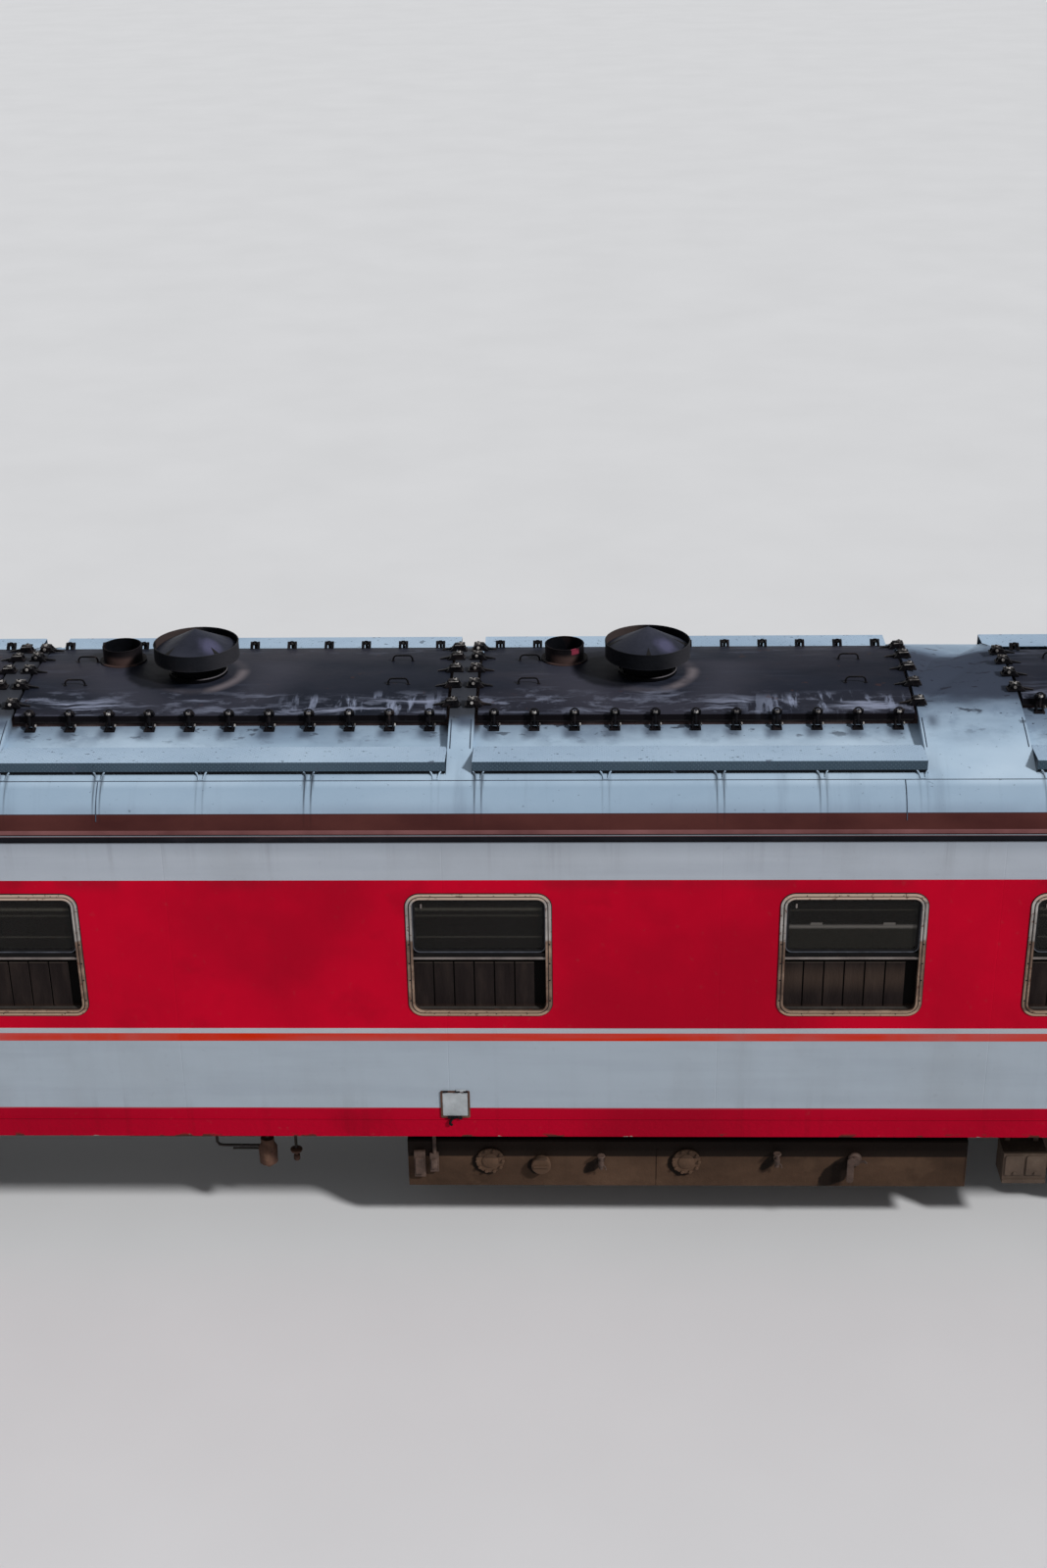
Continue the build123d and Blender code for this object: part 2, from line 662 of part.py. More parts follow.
def make_coupler(front):
    z = COUPLER_Z
    shank = block(COUPLER_PIVOT, 12960, -55, 55, z - SHANK_HALF, z + SHANK_HALF)
    shank += Pos(COUPLER_PIVOT, 0, z) * Cylinder(66, 2 * SHANK_HALF)
    head = extrude(outline([(12930, -150), (13060, -150), (13240, -235), (13280, -205), (13150, -90),
                            (13080, -70), (13060, 20), (13080, 60), (13130, 160), (13070, 190),
                            (12930, 120)]), 300)
    head = Pos(0, 0, z - 150) * head
    pin_x, pin_y = KNUCKLE_PIN
    head -= Pos(pin_x, pin_y, z) * Cylinder(78, 196)
    for low in (z - 150, z + 98):
        lug = Pos(pin_x, pin_y, low + 26) * (Cylinder(55, 52) - Cylinder(21.4, 60))
        head += lug - Pos(pin_x, pin_y, z) * Cylinder(21.4, 400)
        head -= Pos(pin_x, pin_y, z) * Cylinder(21.4, 400)
    head -= block(13065, 13400, -60, 260, z - 98, z + 98)
    piece = shank + head
    return piece if front else Rot(0, 0, 180) * piece


def make_knuckle(front):
    z = COUPLER_Z
    pin_x, pin_y = KNUCKLE_PIN
    claw = extrude(outline([(pin_x - 40, pin_y - 35), (pin_x + 30, pin_y - 55), (pin_x + 45, pin_y - 150),
                            (13230, -70), (13282, -30), (13288, 40), (13250, 130), (pin_x + 40, pin_y + 45),
                            (pin_x - 30, pin_y + 45)]), 184)
    knuckle = Pos(0, 0, z - 92) * claw
    knuckle += Pos(pin_x, pin_y, z) * Cylinder(52, 184)
    knuckle += Pos(pin_x, pin_y, z) * Cylinder(21, 330)
    return knuckle if front else Rot(0, 0, 180) * knuckle


def make_tail_lamps():
    lamps = []
    for end in (1, -1):
        for y in (-1330, 1330):
            lamp = Pos(end * (HALF_LENGTH + 35), y, 3350) * Rot(0, 90, 0) * Cylinder(75, 70)
            lamps.append(lamp)
    return lamps


def make_grab_rails():
    """Upright rails beside the doorways and a ladder on each end wall."""
    rails = []
    y = HALF_WIDTH + RAIL_OFFSET
    for x in (ENTRANCE_X - 90, ENTRANCE_X + ENTRANCE_WIDTH + 90, SERVICE_X + SERVICE_WIDTH + 90):
        rail = rod((x, y, FLOOR_Z + 150), (x, y, FLOOR_Z + 1250), 14)
        for z in (FLOOR_Z + 165, FLOOR_Z + 1235):
            rail += rod((x, HALF_WIDTH, z), (x, y, z), 12)
        rails += both_sides(rail)
    for end in (1, -1):
        x = end * (HALF_LENGTH + 70)
        ladder = rod((x, 880, SILL_Z + 60), (x, 880, CANT_Z + 60), 14)
        ladder += rod((x, 1180, SILL_Z + 60), (x, 1180, CANT_Z + 60), 14)
        for i in range(9):
            z = SILL_Z + 130 + 300 * i
            ladder += rod((x, 880, z), (x, 1180, z), 10)
        for z in (SILL_Z + 100, 2400, CANT_Z):
            for yy in (880, 1180):
                ladder += rod((end * HALF_LENGTH, yy, z), (x, yy, z), 10)
        rails.append(ladder if end > 0 else mirror(ladder, Plane.XZ))
    return rails


def make_steps():
    """Step ladders under the side doors."""
    steps = []
    for x, width in ((ENTRANCE_X, ENTRANCE_WIDTH), (SERVICE_X, SERVICE_WIDTH)):
        a, b = x + 60, x + width - 60
        ladder = block(a, a + 12, 1330, 1480, 470, SILL_Z)
        ladder += block(b - 12, b, 1330, 1480, 470, SILL_Z)
        for z in (480, 760):
            ladder += block(a, b, 1300, 1500, z, z + 24)
        steps += both_sides(ladder)
    return steps


def make_generator_sets():
    """One block for each engine with its generator, on the floor."""
    sets = []
    for _, first, length, _, count, _ in HATCHES:
        if count < 10:
            continue
        a = first + 120
        block_one = block(a, a + 1900, -480, 480, FLOOR_Z + 160, FLOOR_Z + 1500)
        block_one += block(a + 1900, a + 3050, -400, 400, FLOOR_Z + 160, FLOOR_Z + 1060)
        block_one += block(a - 40, a + 3100, -440, 440, FLOOR_Z, FLOOR_Z + 160)
        sets.append(block_one)
    return sets


# Underfloor

def make_fuel_tank():
    x0, x1 = TANK_X
    low, high = TANK_Z
    c = TANK_CHAMFER
    face = outline([(-TANK_Y + c, low), (TANK_Y - c, low), (TANK_Y, low + c), (TANK_Y, high - c),
                    (TANK_Y - c, high), (-TANK_Y + c, high), (-TANK_Y, high - c), (-TANK_Y, low + c)])
    tank = along_x(face, x0, x1)
    for x in (x0 + 120, (x0 + x1) / 2 - 500, (x0 + x1) / 2 + 500, x1 - 120):
        for y in (-TANK_Y + 90, TANK_Y - 150):
            tank += block(x - 40, x + 40, y, y + 60, high - 10, BODY_Z)
    for x, z, radius, length in TANK_FITTINGS:
        for side in (1, -1):
            tank += rod((x, side * (TANK_Y - 5), z), (x, side * (TANK_Y + length), z), radius)
    return tank


def make_underfloor_boxes():
    boxes = []
    box_sizes = [
        (6905, 7255, 1100, 1350, 500, 780),
        (-6900 + 1000, -4500, 850, 1400, 480, 960),
        (-300, 900, 300, 900, 620, 960),
    ]
    for x0, x1, y0, y1, z0, z1 in box_sizes:
        box = block(x0, x1, y0, y1, z0, z1)
        for x in (x0 + 40, x1 - 80):
            box += block(x, x + 40, y0 + 30, y0 + 70, z1, BODY_Z)
        boxes += both_sides(box)
    return boxes


def make_air_reservoirs():
    tanks = []
    for x0, y in ((-3700, 700), (-3700, -700)):
        tank = rod((x0, y, 780), (x0 + 1500, y, 780), 200)
        for x in (x0 + 250, x0 + 1250):
            tank += block(x - 20, x + 20, y - 30, y + 30, 960, BODY_Z)
        tanks.append(tank)
    return tanks


def make_brake_pipes():
    pipe = rod((-8200, 420, 1000), (8200, 420, 1000), 17)
    for x in (-7350, -5250, -3150, -1050, 1050, 3150, 5250, 7350):
        pipe += block(x - 12, x + 12, 402, 438, 1000, BODY_Z - 110)
    return pipe


# Bogies

def make_wheelset():
    """Two wheels, brake discs and their axle, about the Y axis at the origin."""
    back = BACK_TO_BACK / 2
    front = back + WHEEL_WIDTH
    r = WHEEL_R
    wheel = outline([
        (85, back + 8), (150, back + 8), (165, back + 44), (380, back + 52), (395, back),
        (r + FLANGE - 12, back), (r + FLANGE, back + 14), (r + FLANGE - 12, back + 28),
        (r + 1, back + 42), (r - 2, front), (400, front), (388, back + 92), (165, back + 76),
        (150, front + 12), (85, front + 12)])
    wheel = revolve(Plane.XY * wheel, Axis.Y)
    axle = outline([(0, 0), (AXLE_R, 0), (AXLE_R, back + WHEEL_WIDTH + 14), (JOURNAL_R, back + WHEEL_WIDTH + 40),
                    (JOURNAL_R, JOURNAL_END), (0, JOURNAL_END)])
    axle = revolve(Plane.XY * axle, Axis.Y)
    disc = outline([(80, DISC_Y - 70), (115, DISC_Y - 70), (115, DISC_Y - DISC_WIDTH / 2), (DISC_R, DISC_Y - DISC_WIDTH / 2),
                    (DISC_R, DISC_Y + DISC_WIDTH / 2), (115, DISC_Y + DISC_WIDTH / 2), (115, DISC_Y + 70), (80, DISC_Y + 70)])
    disc = revolve(Plane.XY * disc, Axis.Y)
    half = wheel + axle + disc
    return half + mirror(half, Plane.XZ)


def make_bogie_frame():
    """Side beams with a dropped middle, cross tubes and brake callipers."""
    end, top, dip = FRAME_END, FRAME_TOP, FRAME_DIP
    upper = [(-end, top - 30), (-760, top), (-420, dip), (420, dip), (760, top), (end, top - 30)]
    lower = [(end, top - FRAME_DEPTH), (860, top - FRAME_DEPTH), (500, dip - 110), (-500, dip - 110),
             (-860, top - FRAME_DEPTH), (-end, top - FRAME_DEPTH)]
    face = outline(upper + lower)
    face = fillet([v for v in face.vertices() if abs(v.X) < 800], FRAME_BEND_R)
    face = fillet([v for v in face.vertices() if abs(v.X) > end - 1], FRAME_NOSE_R)
    beam = along_y(face, FRAME_Y - FRAME_HALF, FRAME_Y + FRAME_HALF)
    frame = beam + mirror(beam, Plane.XZ)
    for x in (-400, 400):
        frame += block(x - 60, x + 60, -FRAME_Y, FRAME_Y, dip - 80, dip + 40)
    for side in (1, -1):
        for y in (DISC_Y, -DISC_Y):
            a, b = sorted((side * 455, side * 800))
            calliper = block(a, b, y - 130, y + 130, dip - 70, dip + 30)
            a, b = sorted((side * 790, side * 1010))
            for inner in (y - DISC_WIDTH / 2 - 35, y + DISC_WIDTH / 2 + 6):
                calliper += block(a, b, inner, inner + 29, dip - 60, dip + 20)
            frame += calliper
    return frame


def make_bolster():
    """Swing bolster with its centre bowl and side bearers."""
    shape = outline([(-1150, BOLSTER_UNDER), (1150, BOLSTER_UNDER), (1150, 880), (700, BOLSTER_TOP),
                     (-700, BOLSTER_TOP), (-1150, 880)])
    bolster = along_x(shape, -190, 190)
    bowl = BOLSTER_Z - 35 - SEAT_GAP
    bolster += Pos(0, 0, (bowl + 900) / 2) * Cylinder(250, bowl - 900)
    for y in (-620, 620):
        bolster += block(-110, 110, y - 90, y + 90, 900, BOLSTER_Z - SEAT_GAP)
    return bolster


def make_axleboxes():
    boxes = []
    for x in (-WHEELBASE / 2, WHEELBASE / 2):
        for y in (1, -1):
            body = rod((0, 880, 0), (0, JOURNAL_END + 30, 0), BOX_R)
            body += block(-SPRING_X - 95, SPRING_X + 95, JOURNAL_Y - 90, JOURNAL_Y + 90, -110, SPRING_SEAT - AXLE_Z)
            body += rod((0, JOURNAL_END + 30, 0), (0, JOURNAL_END + 50, 0), 105)
            body -= rod((0, 800, 0), (0, JOURNAL_END + SEAT_GAP, 0), JOURNAL_R + SEAT_GAP)
            piece = Pos(x, 0, AXLE_Z) * body
            boxes.append(piece if y > 0 else mirror(piece, Plane.XZ))
    return boxes


def spring(x, y, low, high, radius):
    return Pos(x, y, (low + high) / 2) * Cylinder(radius, high - low)


def make_springs():
    springs = []
    for side in (1, -1):
        for x in (-WHEELBASE / 2, WHEELBASE / 2):
            for offset in (-SPRING_X, SPRING_X):
                top = FRAME_TOP - FRAME_DEPTH
                springs.append(spring(x + offset, side * FRAME_Y, SPRING_SEAT, top, SPRING_R))
        for x in (-BOLSTER_SPRING_X, BOLSTER_SPRING_X):
            springs.append(spring(x, side * FRAME_Y, FRAME_DIP, BOLSTER_UNDER, BOLSTER_SPRING_R))
    return springs


def build_parts():
    PARTS["underframe"] = make_underframe()
    PARTS["floor"] = make_floor()
    PARTS["side_wall_near"] = make_side_wall(True)
    PARTS["side_wall_far"] = make_side_wall(False)
    PARTS["end_wall_front"] = make_end_wall(True)
    PARTS["end_wall_rear"] = make_end_wall(False)
    PARTS["roof"] = make_roof()
    PARTS["gutters"] = make_gutters()
    PARTS["hatch_coamings"] = make_coamings()
    for name, first, length, half, _, _ in HATCHES:
        PARTS[name] = make_hatch_lid(first, length, half)
    PARTS["hatch_clamps"] = make_clamps()
    PARTS["roof_ventilators"] = make_ventilators()
    PARTS["exhaust_stubs"] = make_exhausts()
    PARTS["roof_walkways"] = make_walkways()
    PARTS["air_conditioner"] = make_cooler()
    PARTS["fan_guards"] = make_fan_guards()
    PARTS["louvres"] = make_louvres()
    PARTS["window_frames"] = make_window_frames()
    PARTS["window_glass"] = make_window_glass()
    PARTS["window_screens"] = make_window_screens()
    PARTS["gangway_front"] = make_gangway(True)
    PARTS["gangway_rear"] = make_gangway(False)
    PARTS["generator_sets"] = make_generator_sets()
    PARTS["fuel_tank"] = make_fuel_tank()
    PARTS["underfloor_boxes"] = make_underfloor_boxes()
    PARTS["air_reservoirs"] = make_air_reservoirs()
    PARTS["brake_pipe"] = make_brake_pipes()
    PARTS["entrance_steps"] = make_steps()
    PARTS["grab_rails"] = make_grab_rails()
    PARTS["tail_lamps"] = make_tail_lamps()
    PARTS["entrance_door_near"] = place_side_door(ENTRANCE_X, ENTRANCE_WIDTH, True, False)
    PARTS["entrance_door_far"] = place_side_door(ENTRANCE_X, ENTRANCE_WIDTH, False, False)
    PARTS["service_door_near"] = place_side_door(SERVICE_X, SERVICE_WIDTH, True, True)
    PARTS["service_door_far"] = place_side_door(SERVICE_X, SERVICE_WIDTH, False, True)
    PARTS["end_door_front"] = make_end_door(True)
    PARTS["end_door_rear"] = make_end_door(False)
    for end, front in (("front", True), ("rear", False)):
        PARTS["coupler_" + end] = make_coupler(front)
        PARTS["knuckle_" + end] = make_knuckle(front)
    for i, x in enumerate(FAN_X):
        PARTS[f"cooling_fan_{i + 1}"] = Pos(x, 0, 0) * make_fan()
    frame, bolster = make_bogie_frame(), make_bolster()
    boxes, springs = make_axleboxes(), make_springs()
    for end, x in (("front", BOGIE_X), ("rear", -BOGIE_X)):
        PARTS["bogie_frame_" + end] = Pos(x, 0, 0) * frame
        PARTS["bogie_bolster_" + end] = Pos(x, 0, 0) * bolster
        PARTS["axleboxes_" + end] = [Pos(x, 0, 0) * piece for piece in boxes]
        PARTS["bogie_springs_" + end] = [Pos(x, 0, 0) * piece for piece in springs]
    wheelset = make_wheelset()
    axles = [end * BOGIE_X + side * WHEELBASE / 2 for end in (1, -1) for side in (1, -1)]
    for i, x in enumerate(axles):
        PARTS[f"wheelset_{i + 1}"] = Pos(x, 0, AXLE_Z) * wheelset


os.makedirs("parts", exist_ok=True)
build_parts()
for name, shape in PARTS.items():
    if isinstance(shape, list):
        shape = Compound(children=[solid for piece in shape for solid in piece.solids()])
    export_step(shape, f"parts/{name}.step")
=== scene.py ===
"""Looks of the railway generator coach: materials, fittings, lights and camera."""
import math

import bmesh
import bpy
from mathutils import Matrix, Vector


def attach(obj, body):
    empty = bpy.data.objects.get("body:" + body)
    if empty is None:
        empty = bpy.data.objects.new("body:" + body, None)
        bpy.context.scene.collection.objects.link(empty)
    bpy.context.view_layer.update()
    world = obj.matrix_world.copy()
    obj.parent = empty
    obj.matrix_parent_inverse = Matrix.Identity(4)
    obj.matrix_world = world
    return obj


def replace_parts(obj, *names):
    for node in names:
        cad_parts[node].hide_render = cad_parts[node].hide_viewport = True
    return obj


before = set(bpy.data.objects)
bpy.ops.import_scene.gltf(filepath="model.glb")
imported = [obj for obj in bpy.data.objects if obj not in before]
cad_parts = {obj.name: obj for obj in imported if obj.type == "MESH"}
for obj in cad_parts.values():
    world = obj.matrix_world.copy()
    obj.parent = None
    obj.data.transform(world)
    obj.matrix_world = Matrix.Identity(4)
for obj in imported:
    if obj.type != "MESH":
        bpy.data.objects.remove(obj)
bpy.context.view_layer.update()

# Sizes from the part's source, in metres
HALF_WIDTH = 1.5525
HALF_LENGTH = 12.75
SHEET_END = 12.745
ROOF_R = 2.813
CANT_R = 0.4
CANT_Y = HALF_WIDTH - CANT_R
CANT_Z = 3.768
ROOF_CENTRE_Z = CANT_Z - math.sqrt((ROOF_R - CANT_R) ** 2 - CANT_Y ** 2)
COOLER_R = 2.799
LID_R = 3.354
LID_TOP = 4.455
LID_THICK = 0.045
RECESS_DEPTH = 0.083
RECESS_Y = 1.3
# First X, length, half width, clamps along a side, clamps along an end
HATCHES = (
    (-4.466, 3.34, 0.71, 11, 5),
    (-0.880, 3.34, 0.71, 11, 5),
    (2.706, 3.34, 0.71, 11, 5),
    (6.900, 2.54, 0.515, 8, 4),
)
HATCH_PITCH = HATCHES[1][0] - HATCHES[0][0]
LONG_LIDS_END = 6.45
VENT_OFFSET = 1.32
CONE_TIP = 4.8275
CONE_FALL = 0.503
CONE_TURN = (20, 45, 0)
STUB_OFFSET = 0.66
STUB_Y = 0.285
WINDOW_X = (-4.490, -0.887, 2.716, 5.552, 7.427, 9.300)
WINDOW_Z = 2.741
WINDOW_WIDTH = 1.105
WINDOW_HEIGHT = 1.066
PANE_Z = (2.758, 3.229)
# Places of the brackets under the roof boards, from the first X of each hatch
BRACKETS = (
    (0.05, 0.88, 1.70, 2.50, 3.28),
    (0.04, 0.76, 1.53, 2.34, 3.29),
    (0.024, 0.974, 1.824, 2.584, 3.324),
    (0.05, 0.66, 1.27, 1.88, 2.49),
)
# How dirty the roof bend is below each of them
BRACKET_DIRT = (
    (0.3, 0.7, 0.2, 0.8, 0.2),
    (0.6, 0.8, 0.3, 0.9, 0.1),
    (1.0, 0.25, 0.9, 0.6, 0.2),
    (0.5, 0.2, 0.7, 0.3, 0.6),
)
FAN_X = (-11.3, -9.7)
STEP_X = ((11.62, 12.25), (-7.0, -6.22))
TANK_Y = 1.35
# First and last X, bottom, top and half width of the boxes below the floor
BOXES = ((-5.9, -4.5, 0.48, 0.96, 1.4), (-0.3, 0.9, 0.62, 0.96, 0.9))
BOGIE_X = 9.0
HALF_WHEELBASE = 1.2
SPRING_Y = 1.0
AXLE_Z = 0.4845
SIDES = (-1, 1)
UP = (0, 0, 1)


def roof_z(y, radius=ROOF_R):
    """Height of the roof's main arc."""
    return ROOF_CENTRE_Z + math.sqrt(radius ** 2 - y * y)


def lid_z(y):
    """Height of a hatch lid."""
    return LID_TOP - LID_R + math.sqrt(LID_R ** 2 - y * y)


# Materials

def rgb(colour):
    """A colour given in screen values from 0 to 255; anything else stays."""
    if not isinstance(colour, tuple):
        return colour
    linear = [(v / 255 / 12.92) if v < 10.3 else ((v / 255 + 0.055) / 1.055) ** 2.4 for v in colour]
    return (*linear, 1.0)


class Value:
    """The number that a node gives, with plain arithmetic."""

    def __init__(self, shader, socket):
        self.shader, self.socket = shader, socket

    def __add__(self, other):
        return self.shader.math("ADD", self, other)

    def __radd__(self, other):
        return self.shader.math("ADD", other, self)

    def __sub__(self, other):
        return self.shader.math("SUBTRACT", self, other)

    def __rsub__(self, other):
        return self.shader.math("SUBTRACT", other, self)

    def __mul__(self, other):
        return self.shader.math("MULTIPLY", self, other)

    def __rmul__(self, other):
        return self.shader.math("MULTIPLY", other, self)

    def __truediv__(self, other):
        return self.shader.math("DIVIDE", self, other)

    def __abs__(self):
        return self.shader.math("ABSOLUTE", self)


class Shader:
    """A material's nodes, fed by the place of each point on the coach at rest."""

    def __init__(self, name, roughness=0.5, metallic=0.0, specular=0.5):
        self.mat = bpy.data.materials.new(name)
        self.mat.use_nodes = True
        self.tree = self.mat.node_tree
        self.bsdf = self.tree.nodes["Principled BSDF"]
        self.set(self.bsdf, Roughness=roughness, Metallic=metallic, Specular_IOR_Level=specular)
        self.place = self.tree.nodes.new("ShaderNodeTexCoord").outputs["Object"]
        self.x, self.y, self.z = (Value(self, out) for out in self.node("SeparateXYZ", self.place).outputs)
        self.side = abs(self.y)
        self.colour = None

    def node(self, kind, *values, **settings):
        made = self.tree.nodes.new("ShaderNode" + kind)
        for key, value in settings.items():
            setattr(made, key, value)
        for socket, value in zip(made.inputs, values):
            self.put(socket, value)
        return made

    def put(self, socket, value):
        if isinstance(value, Value):
            value = value.socket
        if isinstance(value, bpy.types.NodeSocket):
            self.tree.links.new(value, socket)
        elif value is not None:
            socket.default_value = value

    def set(self, node, **values):
        """Fill a node's inputs by name."""
        for key, value in values.items():
            self.put(node.inputs[key.replace("_", " ")], value)
        return Value(self, node.outputs[0])

    def math(self, operation, a, b=0.0, c=0.0):
        return Value(self, self.node("Math", a, b, c, operation=operation).outputs[0])

    def most(self, *values):
        made = values[0]
        for value in values[1:]:
            made = self.math("MAXIMUM", made, value)
        return made

    def wrap(self, value, length):
        return self.math("WRAP", value, length)

    def far(self, u, v):
        """Distance from the origin of two coordinates."""
        return self.math("SQRT", u * u + v * v)

    def noise(self, scale, detail=4.0, stretch=(1, 1, 1), seed=0.0, roughness=0.55):
        moved = self.node("Mapping", self.place, (seed, seed * 1.7, -seed), None, stretch).outputs[0]
        sizes = {"Scale": scale, "Detail": detail, "Roughness": roughness}
        return self.set(self.node("TexNoise"), Vector=moved, **sizes)

    def wander(self, reach, *noise, **settings):
        """Noise around nothing, to bend an edge by."""
        return (self.noise(*noise, **settings) - 0.5) * reach

    def spread(self, value, low, high, a, b):
        """A value's range from low to high, turned into the one from a to b."""
        return Value(self, self.node("MapRange", value, low, high, a, b).outputs[0])

    def step(self, value, low, high):
        """0 below low and 1 above high, smooth between, or the other way round."""
        made = self.node("MapRange", value, low, high, 0.0, 1.0, interpolation_type="SMOOTHSTEP")
        return Value(self, made.outputs[0])

    def spots(self, low, high, *noise, **settings):
        """Patches where a noise passes from low to high."""
        return self.step(self.noise(*noise, **settings), low, high)

    def within(self, value, low, high, soft):
        """1 between two values."""
        return self.step(value, low - soft, low + soft) * self.step(value, high + soft, high - soft)

    def near(self, value, centre, reach):
        """1 at a value, falling to 0 at a distance from it."""
        return self.step(abs(value - centre), reach, 0.0)

    def ramp(self, value, *stops, constant=False):
        made = self.node("ValToRGB", value)
        ramp = made.color_ramp
        ramp.interpolation = "CONSTANT" if constant else "LINEAR"
        while len(ramp.elements) < len(stops):
            ramp.elements.new(0.5)
        for element, (place, colour) in zip(ramp.elements, stops):
            element.position = place
            element.color = rgb(colour)
        return made.outputs[0]

    def mix(self, amount, a, b):
        made = self.node("Mix", data_type="RGBA")
        for index, value in ((0, amount), (6, rgb(a)), (7, rgb(b))):
            self.put(made.inputs[index], value)
        return made.outputs[2]

    def coat(self, amount, colour):
        """Another colour over what is there."""
        self.colour = self.mix(amount, self.colour, colour)

    def done(self, height=None, depth=0.0, rough=None):
        """The material, with its bumps and its roughness where they vary."""
        bump = None
        if height is not None:
            bump = self.set(self.node("Bump"), Strength=1.0, Distance=depth, Height=height)
        self.set(self.bsdf, Base_Color=self.colour, Roughness=rough, Normal=bump)
        return self.mat


# Colours of the body's bands, each from its lowest height up
RED = (184, 0, 35)
BANDS = (
    (1.0, (166, 0, 34)),
    (1.340, (156, 166, 176)),
    (1.968, (190, 38, 8)),
    (2.039, (170, 172, 178)),
    (2.084, RED),
    (3.390, (164, 170, 179)),
)


def band_colour(s):
    """The painted bands by height, with darker patches, washed dirt and dust."""
    level = (s.z - 1.0) / 3.0
    bands = s.ramp(level, *(((z - 1.0) / 3.0, colour) for z, colour in BANDS), constant=True)
    red = s.most(s.within(s.z, 2.084, 3.39, 0.001), s.step(s.z, 1.341, 1.339))
    deep = s.spots(0.42, 0.66, 0.5, 5, (1, 1, 0.9), 3)
    blotch = s.spots(0.5, 0.72, 1.7, 6, (1, 1, 1.2), 7)
    s.colour = s.mix(red * s.most(deep * 0.42, blotch * 0.3), bands, (112, 2, 22))
    ripple = s.spots(0.42, 0.7, 1.0, 5, (0.5, 1, 7), 19)
    cloud = s.spots(0.44, 0.72, 0.8, 6, (1.3, 1, 0.5), 9, 0.6)
    white = 1.0 - red
    s.coat(white * ripple * 0.16, (126, 134, 146))
    s.coat(white * cloud * 0.22, (128, 130, 132))
    runs = s.spots(0.54, 0.76, 1.0, 6, (9, 9, 0.25), 9, 0.6)
    high = s.step(s.z, 3.3, 3.7)
    low = s.step(s.z, 1.6, 1.3)
    runs = runs * s.most(high * 0.22, low * 0.2, 0.04)
    s.coat(white * runs, (84, 78, 76))
    s.coat(red * runs, (60, 8, 16))
    s.coat(s.step(s.z, 3.56, 3.71) * 0.3, (96, 104, 116))
    fine = s.spots(0.62, 0.8, 16, 5, (1, 1, 1), 5)
    s.coat(fine * 0.12, (96, 86, 84))
    brow = red * s.step(s.z, 3.26, 3.385) * s.spots(0.4, 0.62, 2.2, 5, (1, 1, 0.6), 27)
    s.coat(brow * 0.28, (84, 18, 30))


def paint_finish(s):
    """Sheet metal under gloss paint that has gone dull."""
    waves = s.noise(1.3, 2, (1, 1, 1.6), 2)
    dents = s.noise(4, 3, (1, 1, 1), 14)
    grain = s.noise(60, 3)
    sheet = 2.1
    seam = s.near(s.wrap(s.x - 0.35 + sheet / 2, sheet), sheet / 2, 0.006)
    height = waves + dents * 0.1 + grain * 0.02 - seam * 0.05
    rough = s.spread(s.noise(3, 5), 0.3, 0.7, 0.36, 0.56)
    return s.done(height, 0.014, rough)


def body_paint():
    """Bands outside, and dull grey on the inner faces of walls and doors."""
    s = Shader("body_paint", specular=0.05)
    band_colour(s)
    inside = s.step(s.side, HALF_WIDTH - 0.056, HALF_WIDTH - 0.058)
    s.coat(inside * s.step(abs(s.x), HALF_LENGTH - 0.056, HALF_LENGTH - 0.058), (84, 86, 82))
    return paint_finish(s)


def underframe_paint():
    """Red on the outer face of the sills, sooty brown everywhere below the floor."""
    s = Shader("underframe_paint", 0.6, specular=0.05)
    outer = s.step(s.side, HALF_WIDTH - 0.003, HALF_WIDTH - 0.0015) * s.step(s.z, 1.0785, 1.0795)
    dirt = s.noise(3, 6, seed=4)
    dark = s.ramp(dirt, (0.3, (20, 17, 16)), (0.55, (36, 29, 26)), (0.75, (58, 46, 38)))
    band_colour(s)
    chips = s.spots(0.59, 0.63, 6, 6, (1, 1, 2.4), 8)
    s.coat(chips * s.step(s.z, 1.118, 1.085), (74, 40, 34))
    bare = s.spots(0.66, 0.69, 9, 6, (1, 1, 3), 18)
    s.coat(bare * s.step(s.z, 1.105, 1.085), (150, 140, 132))
    s.coat(s.near(s.z, 1.2425, 0.004) * 0.8, (60, 4, 16))
    s.colour = s.mix(outer, dark, s.colour)
    return s.done(s.noise(30, 5), 0.004)


def hatch_x(s):
    """Distance along the coach from the start of the hatch that a point lies on."""
    return s.wrap(s.x - HATCHES[0][0], HATCH_PITCH)


def board_streaks(s):
    """Thin paired dirt runs below the brackets of the roof boards."""
    thin, thick = 0.0, 0.0
    for (first, _, _, _, _), places, shares in zip(HATCHES, BRACKETS, BRACKET_DIRT):
        for place, share in zip(places, shares):
            off = abs(s.x - (first + place))
            thin = s.most(thin, s.near(off, 0.026, 0.012) * share)
            thick = s.most(thick, s.near(off, 0.028, 0.026) * share)
    runs = s.most(thin, thick * s.step(s.z, 4.05, 4.13))
    ragged = 0.75 + 0.25 * s.spots(0.38, 0.62, 2.2, 5, (5, 1, 0.7), 21)
    fade = 0.45 + 0.55 * s.step(s.z, 3.93, 4.08)
    return runs * ragged * fade * s.step(s.side, 1.285, 1.3) * s.step(s.z, 3.8, 3.9)


